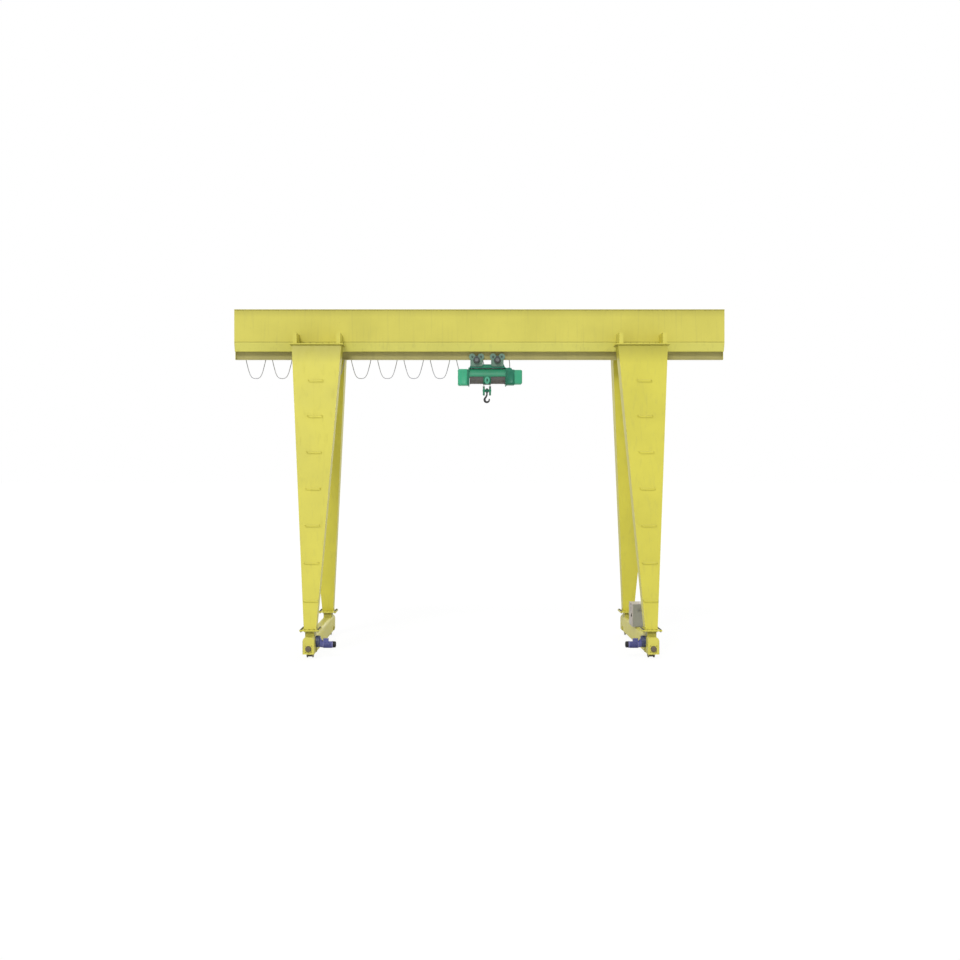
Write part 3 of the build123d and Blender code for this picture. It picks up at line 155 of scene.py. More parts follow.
def paint(name, colour, dull=0.42, streaks=0.16, shade=0.90, dirt=(0.20, 0.17, 0.11), painted_shade=None):
    """Sprayed paint with soft clouds, faint rain streaks and an orange-peel grain.

    Painted shade darkens the paint over a stretch of height, standing for shade under an
    overhang: where it starts, is full and ends, and how strong it is.
    """
    finish = Finish(name, colour, dull)
    cloud = finish.noise(0.9, 4)
    run = finish.noise(1.0, 4, (11, 11, 0.6))
    chip = finish.noise(34, 5)
    darker = tuple(part * shade for part in colour)
    tone = finish.tint(finish.band(cloud, 0.36, 0.64), darker, colour)
    tone = finish.tint(finish.band(run, 0.54, 0.80) * streaks, tone, dirt)
    tone = finish.tint(finish.band(chip, 0.70, 0.74) * 0.35, tone, dirt)
    # Painted shade: a band of height darkened towards half the colour, for shade under a flange or
    # plate
    if painted_shade:
        start, full, end, strength = painted_shade
        height = finish.node("ShaderNodeSeparateXYZ", {}, {0: finish.where}, 2)
        fade = 0.015
        under = finish.band(height, start, full) * finish.band(height, end, end - fade)
        tone = finish.tint(under * strength, tone, tuple(part * 0.5 for part in colour))
    finish.wear("Base Color", tone)
    finish.wear("Roughness", cloud * 0.16 + (dull - 0.08) + finish.band(run, 0.5, 0.8) * 0.12)
    finish.grain(finish.noise(210, 2) + chip * 0.4, 0.10, 0.0015)
    return finish.material


def bare_steel(name, colour, rough=0.36, metallic=0.9, rust=0.10):
    """Machined or rolled steel with fine scratches and a little brown in its hollows."""
    finish = Finish(name, colour, rough, metallic)
    scratch = finish.noise(60, 3, (1, 6, 6))
    spot = finish.noise(14, 5)
    tone = finish.tint(scratch, tuple(part * 0.78 for part in colour), colour)
    tone = finish.tint(finish.band(spot, 0.52, 0.78) * rust, tone, (0.20, 0.10, 0.05))
    finish.wear("Base Color", tone)
    finish.wear("Roughness", scratch * 0.18 + rough - 0.04)
    finish.grain(scratch + spot, 0.14, 0.001)
    return finish.material


def cast(name, colour, rough=0.58):
    """Dark casting or forging skin with a fine pitted grain."""
    finish = Finish(name, colour, rough, 0.35)
    pit = finish.noise(95, 4)
    cloud = finish.noise(9, 3)
    tone = finish.tint(finish.band(cloud, 0.3, 0.7), tuple(part * 0.75 for part in colour), colour)
    tone = finish.tint(finish.band(pit, 0.60, 0.75) * 0.3, tone, (0.17, 0.15, 0.13))
    finish.wear("Base Color", tone)
    finish.wear("Roughness", pit * 0.25 + rough - 0.12)
    finish.grain(pit, 0.28, 0.0016)
    return finish.material


def soft(name, colour, rough=0.72, dust=0.22):
    """Rubber or moulded plastic with dust and a fine matt grain."""
    finish = Finish(name, colour, rough)
    cloud = finish.noise(7, 4)
    fine = finish.noise(320, 2)
    tone = finish.tint(finish.band(cloud, 0.45, 0.75) * dust, colour, (0.42, 0.39, 0.33))
    finish.wear("Base Color", tone)
    finish.wear("Roughness", cloud * 0.18 + rough - 0.08)
    finish.grain(fine, 0.16, 0.0008)
    return finish.material


def stranded(name, colour, pitch, direction):
    """Wire rope: slanted strands with dark grease between them."""
    finish = Finish(name, colour, 0.45, 0.8)
    wave = finish.node(
        "ShaderNodeTexWave", {"wave_type": "BANDS", "bands_direction": direction},
        {"Vector": finish.where, "Scale": pitch, "Distortion": 0.6, "Detail": 1.0})
    finish.wear("Base Color", finish.tint(wave, tuple(part * 0.35 for part in colour), colour))
    finish.wear("Roughness", wave * -0.2 + 0.62)
    finish.grain(wave, 0.6, 0.002)
    return finish.material


YELLOW = paint("yellow_enamel", (0.735, 0.672, 0.118), 0.40, 0.14, 0.92)
# Girder paint darkened towards the top of the web: painted shade under the top plate's edge
GIRDER_YELLOW = paint(
    "girder_yellow", (0.705, 0.644, 0.118), 0.40, 0.14, 0.92, painted_shade=(10.28, 10.50, 10.60, 0.42))
# Leg paint darkened towards the tops of the legs: painted shade under the girder and head flanges
LEG_YELLOW = paint(
    "leg_yellow", (0.700, 0.640, 0.078), 0.40, 0.14, 0.92, painted_shade=(8.77, 9.30, 9.50, 0.64))
# Carriage paint darkened in a band just under the foot flanges: painted shade on the neck below
# each leg's foot flange
CARRIAGE_YELLOW = paint(
    "carriage_yellow", (0.735, 0.672, 0.118), 0.42, 0.16, 0.92, painted_shade=(0.635, 0.655, 0.800, 0.75))
TROUGH_YELLOW = paint("trough_yellow", (0.765, 0.725, 0.155), 0.40, 0.14, 0.94)
# Runway beam paint darker and greyer than the girder's: painted shade of the beam under the trough
RUNWAY_YELLOW = paint("runway_yellow_painted_shade", (0.470, 0.430, 0.165), 0.50, 0.22, 0.86)
# Darker yellow for welds, bolts and caps: the parts are real and painted yellow; their darker tone
# is painted shade along seams, edges and bolt heads
SHADE_SEAM_YELLOW = paint("seam_yellow_painted_shade", (0.470, 0.420, 0.075), 0.46, 0.10, 0.90)
BRIGHT_GREEN = paint("bright_green_enamel", (0.052, 0.440, 0.240), 0.36, 0.14, 0.86)
GREEN = paint("green_enamel", (0.036, 0.300, 0.158), 0.38, 0.16, 0.84)
DARK_GREEN = paint("dark_green_enamel", (0.018, 0.215, 0.125), 0.40, 0.16, 0.82)
PALE_GREEN = paint("pale_green_enamel", (0.105, 0.470, 0.300), 0.38, 0.14, 0.86)
GREY_GREEN = paint("grey_green_enamel", (0.165, 0.285, 0.215), 0.44, 0.20, 0.84)
GEAR_GREY = paint("blue_grey_enamel", (0.070, 0.082, 0.170), 0.44, 0.14, 0.84)
MOTOR_BLUE = paint("blue_enamel", (0.110, 0.120, 0.345), 0.40, 0.14, 0.84)
RING_BLUE = paint("pale_blue_enamel", (0.235, 0.225, 0.455), 0.38, 0.10, 0.88)
CABINET_GREY = paint("grey_powder_coat", (0.550, 0.500, 0.460), 0.50, 0.10, 0.94)
CABINET_DARK = paint("dark_powder_coat", (0.300, 0.300, 0.255), 0.50, 0.10, 0.92)
DARK_GREY = paint("charcoal_enamel", (0.070, 0.080, 0.078), 0.42, 0.16, 0.82)
HUB_GREY = paint("hub_grey_enamel", (0.170, 0.185, 0.180), 0.42, 0.16, 0.84)
ZINC = bare_steel("zinc_plate", (0.560, 0.565, 0.570), 0.40, 0.85, 0.05)
BOLT_STEEL = bare_steel("bolt_zinc", (0.440, 0.430, 0.400), 0.38, 0.9, 0.12)
FOOT_BOLT = bare_steel("foot_bolt_steel", (0.170, 0.165, 0.150), 0.45, 0.8, 0.20)
# Travel wheel steel lighter all over than the trolley wheels': painted light on wheels that stand
# in shade
LIT_TREAD_STEEL = bare_steel("tread_steel_painted_light", (0.430, 0.405, 0.330), 0.46, 0.6, 0.30)
WHEEL_STEEL = bare_steel("wheel_steel", (0.230, 0.225, 0.220), 0.42, 0.8, 0.25)
DRUM_STEEL = bare_steel("greased_drum", (0.200, 0.192, 0.182), 0.50, 0.5, 0.30)
FORGED = cast("forged_black", (0.066, 0.066, 0.070))
BLACK_PLASTIC = soft("black_plastic", (0.008, 0.008, 0.009), 0.62, 0.02)
BUFFER_RUBBER = soft("brown_rubber", (0.150, 0.122, 0.082), 0.80, 0.25)
CABLE_GREY = soft("grey_cable_sheath", (0.440, 0.440, 0.490), 0.60, 0.06)
FALL_ROPE = stranded("hanging_rope", (0.40, 0.40, 0.39), 22, "DIAGONAL")
DRUM_ROPE = stranded("wound_rope", (0.280, 0.270, 0.255), 16, "DIAGONAL")

NODE_FINISH = {
    "electric_box": BRIGHT_GREEN, "hoist_motor_cover": BRIGHT_GREEN, "hoist_shell": GREEN,
    "rope_guide": DARK_GREEN, "rope_nozzle": PALE_GREEN, "suspension_saddle": GREEN,
    "sheave_guards": GREEN, "hoist_end_frames": DARK_GREEN, "hoist_gearbox": DARK_GREEN,
    "suspension_frame": DARK_GREEN, "hook_crosshead": DARK_GREEN, "bogie": GREY_GREEN,
    "gear_case": GEAR_GREY, "travel_motor": MOTOR_BLUE, "fan_covers": BLACK_PLASTIC,
    "cable_gland": BLACK_PLASTIC, "control_cabinet": CABINET_GREY, "buffers": BUFFER_RUBBER,
    "festoon_cable": CABLE_GREY, "festoon": ZINC, "hoist_ropes": FALL_ROPE, "rope_wraps": FALL_ROPE,
    "rope_drum": DRUM_STEEL, "bearing_caps": SHADE_SEAM_YELLOW, "trolley_drives": DARK_GREY,
    "hook_sheave": DARK_GREEN, "travel_wheel": LIT_TREAD_STEEL, "trolley_wheels": WHEEL_STEEL,
    "hook": FORGED, "runway_beam": RUNWAY_YELLOW, "end_carriage": CARRIAGE_YELLOW,
    "girder_trough": TROUGH_YELLOW, "girder_web": GIRDER_YELLOW,
    "girder_top_plate": GIRDER_YELLOW, "leg": LEG_YELLOW,
}


def finish_for(name):
    """Finish of a CAD node: the longest entry that its name starts with."""
    found = [start for start in NODE_FINISH if name.startswith(start)]
    return NODE_FINISH[max(found, key=len)] if found else YELLOW


for name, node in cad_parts.items():
    node.data.materials.clear()
    node.data.materials.append(finish_for(name))


# Making pieces

def clear_selection():
    """Leave edit mode and deselect everything."""
    if bpy.context.object and bpy.context.object.mode != "OBJECT":
        bpy.ops.object.mode_set(mode="OBJECT")
    bpy.ops.object.select_all(action="DESELECT")


def settle(obj):
    """Put a piece's place into its mesh."""
    clear_selection()
    bpy.context.view_layer.objects.active = obj
    obj.select_set(True)
    bpy.ops.object.transform_apply(location=True, rotation=True, scale=True)
    return obj


def mark_faces(obj, wanted):
    """Go into edit mode with just the wanted faces selected."""
    bpy.ops.object.mode_set(mode="EDIT")
    bpy.ops.mesh.select_mode(type="FACE")
    bpy.ops.mesh.select_all(action="DESELECT")
    bpy.ops.object.mode_set(mode="OBJECT")
    for face in obj.data.polygons:
        face.select = wanted(face)
    bpy.ops.object.mode_set(mode="EDIT")


def facing(direction):
    """Test for faces that look along a direction."""
    direction, close_to = Vector(direction), 0.95
    return lambda face: face.normal.dot(direction) > close_to


def round_edges(obj, width, segments=2):
    """Bevel the sharp edges of a piece."""
    bevel = obj.modifiers.new("edge", "BEVEL")
    bevel.width = width
    bevel.segments = segments
    bevel.limit_method = "ANGLE"
    bpy.context.view_layer.objects.active = obj
    bpy.ops.object.modifier_apply(modifier="edge")
    return obj


def slab(low, high, rounding=0.004, segments=2):
    """Plate or block between two corners with rounded edges."""
    clear_selection()
    low, high = Vector(low), Vector(high)
    bpy.ops.mesh.primitive_cube_add(size=1, location=(low + high) / 2)
    obj = bpy.context.object
    obj.scale = high - low
    settle(obj)
    return round_edges(obj, rounding, segments)


def panel(low, high, out, border=0.03, depth=0.004, rounding=0.006):
    """Sheet cover whose face has a pressed border."""
    small_face = 0.004
    outward = facing(out)
    obj = slab(low, high, rounding)
    mark_faces(obj, lambda face: outward(face) and face.area > small_face)
    bpy.ops.mesh.inset(thickness=border, depth=0)
    bpy.ops.mesh.inset(thickness=depth * 1.5, depth=-depth)
    bpy.ops.object.mode_set(mode="OBJECT")
    return obj


def turned(radius, length, centre, axis, sides=32, dish=0.0, rounding=0.003):
    """Round plate or barrel about an axis; dish sinks its outer face within a rim."""
    clear_selection()
    axis = Vector(axis)
    bpy.ops.mesh.primitive_cylinder_add(
        vertices=sides, radius=radius, depth=length, location=centre,
        rotation=UP.rotation_difference(axis).to_euler())
    obj = settle(bpy.context.object)
    if dish:
        rim_width = radius * 0.22
        mark_faces(obj, facing(axis))
        bpy.ops.mesh.inset(thickness=rim_width, depth=0)
        bpy.ops.mesh.inset(thickness=dish, depth=-dish)
        bpy.ops.object.mode_set(mode="OBJECT")
    return round_edges(obj, rounding)


def hoop(radius, thick, centre, axis, around=64, across=8):
    """Round bar bent into a closed ring, spun from a small circle."""
    clear_selection()
    bpy.ops.mesh.primitive_circle_add(
        vertices=across, radius=thick, location=(radius, 0, 0), rotation=(math.pi / 2, 0, 0))
    ring = settle(bpy.context.object)
    bpy.ops.object.mode_set(mode="EDIT")
    bpy.ops.mesh.select_all(action="SELECT")
    bpy.ops.mesh.spin(steps=around, angle=2 * math.pi, center=(0, 0, 0), axis=(0, 0, 1))
    bpy.ops.mesh.select_all(action="SELECT")
    bpy.ops.mesh.remove_doubles(threshold=0.00002)
    bpy.ops.mesh.normals_make_consistent(inside=False)
    bpy.ops.object.mode_set(mode="OBJECT")
    ring.data.transform(seat(centre, axis))
    return ring


def rod(start, end, radius, sides=8):
    """Straight bead or bar between two points with softened ends."""
    start, end = Vector(start), Vector(end)
    axis = end - start
    return turned(
        radius, axis.length, (start + end) / 2, axis, sides=sides, rounding=radius * 0.4)


def hex_head(across, tall):
    """Bolt head on its washer, seated on the origin and pointing up."""
    clear_selection()
    bpy.ops.mesh.primitive_cylinder_add(
        vertices=6, radius=across / 2, depth=tall, location=(0, 0, tall / 2 + across * 0.08))
    head = settle(bpy.context.object)
    mark_faces(head, facing(UP))
    bpy.ops.mesh.inset(thickness=across * 0.06, depth=across * 0.04)
    bpy.ops.object.mode_set(mode="OBJECT")
    clear_selection()
    bpy.ops.mesh.primitive_cylinder_add(
        vertices=14, radius=across * 0.66, depth=across * 0.12, location=(0, 0, across * 0.05))
    return fuse([head, settle(bpy.context.object)])


def fuse(parts):
    """Join parts into the first one."""
    clear_selection()
    for part in parts:
        part.select_set(True)
    bpy.context.view_layer.objects.active = parts[0]
    if len(parts) > 1:
        bpy.ops.object.join()
    return parts[0]


def seat(point, direction, spin=0.0):
    """Transform that stands a piece on a point, pointing along a direction."""
    turn = UP.rotation_difference(Vector(direction)).to_matrix().to_4x4()
    return Matrix.Translation(Vector(point)) @ turn @ Matrix.Rotation(spin, 4, "Z")


def strew(master, places):
    """Copies of a piece at the given transforms, each with its own mesh, as one piece."""
    copies = []
    for place in places:
        copy = bpy.data.objects.new(master.name, master.data.copy())
        copy.data.transform(place)
        bpy.context.scene.collection.objects.link(copy)
        copies.append(copy)
    bpy.data.objects.remove(master)
    return fuse(copies)


def hand_over(obj, name, body, material):
    """Name a finished piece, smooth it, and say what it rides on and is made of."""
    obj.name = name
    obj.data.name = name
    obj.data.materials.clear()
    obj.data.materials.append(material)
    clear_selection()
    bpy.context.view_layer.objects.active = obj
    obj.select_set(True)
    smooth_below = math.radians(35)
    bpy.ops.object.shade_smooth_by_angle(angle=smooth_below)
    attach(obj, body)


def bolts(name, body, places, across, tall, material=BOLT_STEEL):
    """Bolt heads at (point, direction) places as one piece, each turned a little at random."""
    head = hex_head(across, tall)
    spun = [seat(point, direction, random.uniform(0, 1)) for point, direction in places]
    hand_over(strew(head, spun), name, body, material)


def ring_places(centre, axis, radius, count, start=0.0):
    """Points on a circle about an axis along X or Y, each with the axis as its direction."""
    axis = Vector(axis)
    side = UP.cross(axis)
    places = []
    for index in range(count):
        angle = start + 2 * math.pi * index / count
        offset = side * math.cos(angle) + UP * math.sin(angle)
        places.append((Vector(centre) + offset * radius, axis))
    return places


# Festoon cable: the same route as in the CAD source

CABLE_D = 0.025
FESTOON_Y = 0.300
FESTOON_FIRST = -7.477
FESTOON_PITCH = 0.832
FESTOON_COUNT = 10
SADDLE_TOP = 9.250
CABLE_START = (-7.572, FESTOON_Y, 9.195)
# One side of a loop, from the saddle down: distance from the loop's middle, and height
LIMB_ROUTE = ((0.321, 9.195), (0.316, 9.000), (0.256, 8.760), (0.192, 8.530), (0.103, 8.404))
LAST_LIMB = (
    (0.937, 0.300, 9.195), (0.948, 0.300, 9.010), (0.966, 0.262, 8.885), (0.965, 0.208, 8.815))
GLAND_TOP = (0.965, 0.208, 8.740)


def cable_route():
    """Control points from the supply end over the saddles and down to the hoist's gland."""
    route = [CABLE_START, (FESTOON_FIRST, FESTOON_Y, SADDLE_TOP)]
    for index in range(FESTOON_COUNT):
        middle = FESTOON_FIRST + (index + 0.5) * FESTOON_PITCH
        route += [(middle - dx, FESTOON_Y, z) for dx, z in LIMB_ROUTE]
        route += [(middle + dx, FESTOON_Y, z) for dx, z in LIMB_ROUTE[::-1]]
        route.append((middle + FESTOON_PITCH / 2, FESTOON_Y, SADDLE_TOP))
    return route + list(LAST_LIMB) + [GLAND_TOP]


def make_cable():
    """Round cable swept along its route, in the place of the CAD tube."""
    points = cable_route()
    curve = bpy.data.curves.new("festoon_cable_run", "CURVE")
    curve.dimensions = "3D"
    line = curve.splines.new("NURBS")
    line.points.add(len(points) - 1)
    for spot, point in zip(line.points, points):
        spot.co = (*point, 1)
    line.order_u = 3
    line.use_endpoint_u = True
    line.resolution_u = 8
    curve.bevel_depth = CABLE_D / 2
    curve.bevel_resolution = 3
    curve.use_fill_caps = True
    curve.materials.append(CABLE_GREY)
    piece = bpy.data.objects.new("festoon_cable_run", curve)
    bpy.context.scene.collection.objects.link(piece)
    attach(piece, CRANE)
    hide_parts("festoon_cable")
    return piece


cable = make_cable()


# Girder, brackets and legs

def weld_beads():
    """Fillet welds along the girder, round the bracket arms and round the leg ends."""
    girder_end = 7.640
    girder_seams = ((0.2825, 10.5015, 0.005), (0.2790, 9.5030, 0.008), (0.0770, 9.2170, 0.004))
    arm_centre, arm_half = 0.668, 0.062
    arm_low, arm_high = 9.3835, 9.7150
    flange_top, flange_inner, flange_outer = 9.384, 0.285, 1.084
    leg_ends = ((0.179, 2.443, 2.873, 0.831), (0.758, 0.390, 1.067, 9.3425))
    beads = []
    for side in SIDES:
        for y, z, thick in girder_seams:
            beads.append(rod((-girder_end, side * y, z), (girder_end, side * y, z), thick))
        web_y = side * 0.2815
        for x_side in SIDES:
            centre = x_side * HALF_SPAN
            for arm in SIDES:
                left = centre + arm * arm_centre - arm_half
                right = left + 2 * arm_half
                corners = [
                    (left, web_y, arm_low), (left, web_y, arm_high),
                    (right, web_y, arm_high), (right, web_y, arm_low),
                ]
                beads += [rod(a, b, 0.005) for a, b in zip(corners, corners[1:])]
                for x in (left, right):
                    beads.append(rod(
                        (x, side * flange_inner, flange_top), (x, side * flange_outer, flange_top),
                        0.005))
            for half, inner, outer, z in leg_ends:
                corners = [
                    (centre - half, side * inner, z), (centre + half, side * inner, z),
                    (centre + half, side * outer, z), (centre - half, side * outer, z),
                ]
                beads += [rod(a, b, 0.006) for a, b in zip(corners, corners[1:] + corners[:1])]
    # The beads take the darker seam yellow: painted shade lines along the girder's seams and edges
    hand_over(fuse(beads), "weld_beads", CRANE, SHADE_SEAM_YELLOW)


def flange_bolts():
    """Bolt heads and nuts on the head flanges and foot flanges."""
    head_spots = [
        (x, y) for x in (0, -0.19, 0.19, -0.38, 0.38, -0.56, 0.56) for y in (0.3665, 1.0915)]
    head_spots += [(x, y) for x in (-0.792, 0.792) for y in (0.42, 0.56, 0.70, 0.84, 0.98)]
    edge_spots = [(x, y) for x in (-0.13, 0, 0.13) for y in (2.318, 2.998)]
    side_spots = [(x, y) for x in (-0.248, 0.248) for y in (2.32, 2.455, 2.59, 2.726, 2.861, 2.996)]
    head_faces = (9.383, 9.343)
    foot_faces = (0.830, 0.790)
    for label, spots, faces, across, finish, slot in (
            ("head", head_spots, head_faces, 0.034, SHADE_SEAM_YELLOW, "yellow_paint"),
            ("foot_edge", edge_spots, foot_faces, 0.046, SHADE_SEAM_YELLOW, "yellow_paint"),
            ("foot_side", side_spots, foot_faces, 0.046, FOOT_BOLT, "zinc")):
        upper, lower = faces
        places = []
        for x_side, y_side in FEET:
            for x, y in spots:
                spot = (x_side * HALF_SPAN + x, y_side * y)
                places.append(((*spot, upper), (0, 0, 1)))
                places.append(((*spot, lower), (0, 0, -1)))
        bolts(f"{label}_flange_bolts", CRANE, places, across, across * 0.42, finish)


weld_beads()
flange_bolts()


# End carriages

def carriage_details():
    """Cap screws, buffer plates with their bolts and ribs, and weld beads on the carriages."""
    cap_face = 0.190
    carriage_end, plate_thick, plate_half = 3.260, 0.012, 0.11
    plate_low, plate_high = 0.201, 0.421
    buffer_z = 0.311
    screws, plates, ribs, beads = [], [], [], []
    for x_side, y_side in FEET:
        centre = x_side * HALF_SPAN
        for face in SIDES:
            hub = (centre + face * cap_face, y_side * WHEEL_Y, WHEEL_Z)
            screws += ring_places(hub, (face, 0, 0), 0.050, 6)
        low, high = sorted((y_side * carriage_end, y_side * (carriage_end + plate_thick)))
        plates.append(slab(
            (centre - plate_half, low, plate_low), (centre + plate_half, high, plate_high), 0.004))
        for offset in (0.012, 0.034):
            rib_y = y_side * (carriage_end + plate_thick + offset)
            ribs.append(hoop(0.0815, 0.0060, (centre, rib_y, buffer_z), (0, 1, 0), 40, 6))
        for face in SIDES:
            x = centre + face * 0.134
            beads.append(rod((x, y_side * 2.385, 0.633), (x, y_side * 2.931, 0.633), 0.006))
            x = centre + face * 0.1655
            beads.append(rod((x, y_side * 3.262, 0.155), (x, y_side * 3.262, 0.545), 0.004))
    bolts("bearing_cap_screws", CRANE, screws, 0.016, 0.007, SHADE_SEAM_YELLOW)
    hand_over(fuse(plates), "buffer_plates", CRANE, YELLOW)
    corners = [(dx, z) for dx in (-0.088, 0.088) for z in (0.223, 0.399)]
    places = [
        ((x_side * HALF_SPAN + dx, y_side * (carriage_end + plate_thick), z), (0, y_side, 0))
        for x_side, y_side in FEET for dx, z in corners]
    bolts("buffer_plate_bolts", CRANE, places, 0.024, 0.010, SHADE_SEAM_YELLOW)
    hand_over(fuse(ribs), "buffer_ribs", CRANE, BLACK_PLASTIC)
    hand_over(fuse(beads), "carriage_beads", CRANE, SHADE_SEAM_YELLOW)


carriage_details()


# Travel drives

def travel_drive(label, x_side):
    """Cooling fins, end shields, fan grille, terminal box lid and gear case trim of one drive."""
    motor_z, gear_case_z = 0.380, 0.469
    y = -WHEEL_Y
    inward = (-x_side, 0, 0)

    def at(distance, z=motor_z):
        """Point on a shaft's axis, this far out from the crane's middle."""
        return x_side * distance, y, z

    fins, fin_places = [], 30
    low, high = sorted((x_side * 4.612, x_side * 4.372))
    for index in range(fin_places):
        angle = 2 * math.pi * index / fin_places
        under_box = abs(angle - math.pi / 2) < 0.75
        if not under_box:
            fin = slab((low, -0.0022, 0.088), (high, 0.0022, 0.104), 0.0012, 1)
            turn = Matrix.Rotation(math.pi / 2 - angle, 4, "X")
            fin.data.transform(Matrix.Translation((0, y, motor_z)) @ turn)
            fins.append(fin)
    hand_over(fuse(fins), f"motor_fins_{label}", CRANE, MOTOR_BLUE)
    shields = [
        turned(0.101, 0.024, at(4.349), inward, sides=48, rounding=0.004),
        turned(0.103, 0.018, at(4.615), inward, sides=48, rounding=0.004),
    ]
    hand_over(fuse(shields), f"motor_end_shields_{label}", CRANE, RING_BLUE)

    hub = at(4.2500)
    grille = [hoop(radius, 0.0028, hub, (1, 0, 0), 40, 6) for radius in (0.02, 0.034, 0.048, 0.062)]
    for index in range(6):
        angle = math.pi * index / 3
        spoke = Vector((0, math.cos(angle), math.sin(angle))) * 0.066
        grille.append(rod(hub, Vector(hub) + spoke, 0.0026))
    grille.append(hoop(0.0935, 0.0025, at(4.330), (1, 0, 0), 48, 6))
    hand_over(fuse(grille), f"fan_grille_{label}", CRANE, BLACK_PLASTIC)

    low, high = sorted((x_side * 4.620, x_side * 4.462))
    lid = panel(
        (low, y - 0.064, 0.541), (high, y + 0.064, 0.556), UP, border=0.012, depth=0.003,
        rounding=0.003)
    hand_over(lid, f"terminal_box_lid_{label}", CRANE, MOTOR_BLUE)
    screws = [
        ((x, y + dy, 0.5555), (0, 0, 1))
        for x in (low + 0.008, high - 0.008) for dy in (-0.056, 0.056)]
    bolts(f"terminal_box_screws_{label}", CRANE, screws, 0.009, 0.004)

    lowest_bolt = 0.33
    rim = ring_places(at(4.7175, gear_case_z), inward, 0.154, 12, 0.13)
    bolts(f"gear_case_bolts_{label}", CRANE, [spot for spot in rim if spot[0].z > lowest_bolt],
          0.024, 0.011, GEAR_GREY)
    flanges = [
        turned(0.1765, 0.016, at(4.776, gear_case_z), (1, 0, 0), sides=64),
        turned(0.150, 0.012, at(4.7110, 0.452), (1, 0, 0), sides=56),
    ]
    hand_over(fuse(flanges), f"gear_case_flanges_{label}", CRANE, GEAR_GREY)


for label, x_side in (("left", -1), ("right", 1)):
    travel_drive(label, x_side)


# Control cabinet

def cabinet_details():
    """Door with its louvres, hinges and lever, the roof, and the front cover with its vents."""
    door_x = 4.736
    row_pitch, row_count = 0.022, 6
    door = panel(
        (door_x - 0.016, -0.600, 0.690), (door_x + 0.002, 0.110, 1.318), (-1, 0, 0), border=0.028)
    hand_over(door, "cabinet_door", CRANE, CABINET_GREY)
    roof = slab((4.718, -0.648, 1.346), (5.218, 0.158, 1.366), 0.006)
    hand_over(roof, "cabinet_roof", CRANE, CABINET_GREY)
    cover = panel(
        (4.742, -0.640, 0.655), (5.194, -0.628, 1.344), (0, -1, 0), border=0.022, depth=0.003,
        rounding=0.004)
    hand_over(cover, "cabinet_front_cover", CRANE, CABINET_DARK)

    vents, slats = [], []
    for row in range(row_count):
        drop = row * row_pitch
        vents.append(slab((4.89, -0.647, 1.229 - drop), (5.05, -0.639, 1.239 - drop), 0.002))
        slats.append(slab(
            (door_x - 0.021, -0.330, 1.229 - drop), (door_x - 0.013, -0.160, 1.239 - drop), 0.002))
    hand_over(fuse(vents), "cabinet_front_vents", CRANE, CABINET_DARK)
    hinges = [
        rod((door_x - 0.012, 0.118, z), (door_x - 0.012, 0.118, z + 0.07), 0.009, 12)
        for z in (0.74, 0.97, 1.20)]
    hand_over(fuse(slats + hinges), "cabinet_louvres", CRANE, CABINET_GREY)
    lever = [
        slab((door_x - 0.026, -0.567, 0.955), (door_x - 0.014, -0.535, 1.075), 0.004),
        slab((door_x - 0.040, -0.560, 0.965), (door_x - 0.026, -0.542, 1.030), 0.005),
    ]
    hand_over(fuse(lever), "cabinet_lever", CRANE, BLACK_PLASTIC)


cabinet_details()


# Hoist

def half_band(x, wide, inner, outer):
    """Sheet hoop over the top of the shell, spun from a short profile about the drum's axis."""
    clear_selection()
    bpy.ops.mesh.primitive_plane_add(size=1, location=(0, 0, 0))
    obj = bpy.context.object
    obj.scale = (wide, outer - inner, 1)
    obj.location = (x + wide / 2, -(inner + outer) / 2, DRUM_Z)
    settle(obj)
    bpy.ops.object.mode_set(mode="EDIT")
    bpy.ops.mesh.select_all(action="SELECT")
    bpy.ops.mesh.spin(steps=40, angle=math.pi, center=(0, 0, DRUM_Z), axis=(1, 0, 0))
    bpy.ops.mesh.select_all(action="SELECT")
    bpy.ops.mesh.remove_doubles(threshold=0.00005)
    bpy.ops.mesh.normals_make_consistent(inside=False)
    bpy.ops.object.mode_set(mode="OBJECT")
    return obj


def shell_details():
    """Bands, edge beads and screws on the half-round shell."""
    first, last = -0.309, 0.815
    sheet, surface = 0.2555, 0.2600
    bands = [
        half_band(x, wide, sheet, surface)
        for x, wide in ((first, 0.030), (0.785, 0.030), (0.116, 0.020), (0.348, 0.020))]
    edges = [rod((first, y, 8.4305), (last, y, 8.4305), 0.006) for y in (-0.2545, 0.2545)]
    hand_over(fuse(bands + edges), "shell_bands", TROLLEY, GREEN)
    screws = []
    for x in (-0.294, 0.126, 0.358, 0.800):
        for degrees in (12, 40, 68, 112, 140, 168):
            angle = math.radians(degrees)
            outward = Vector((0, -math.cos(angle), math.sin(angle)))
            screws.append((Vector((x, 0, DRUM_Z)) + outward * surface, outward))
    bolts("shell_screws", TROLLEY, screws, 0.014, 0.005, GREEN)


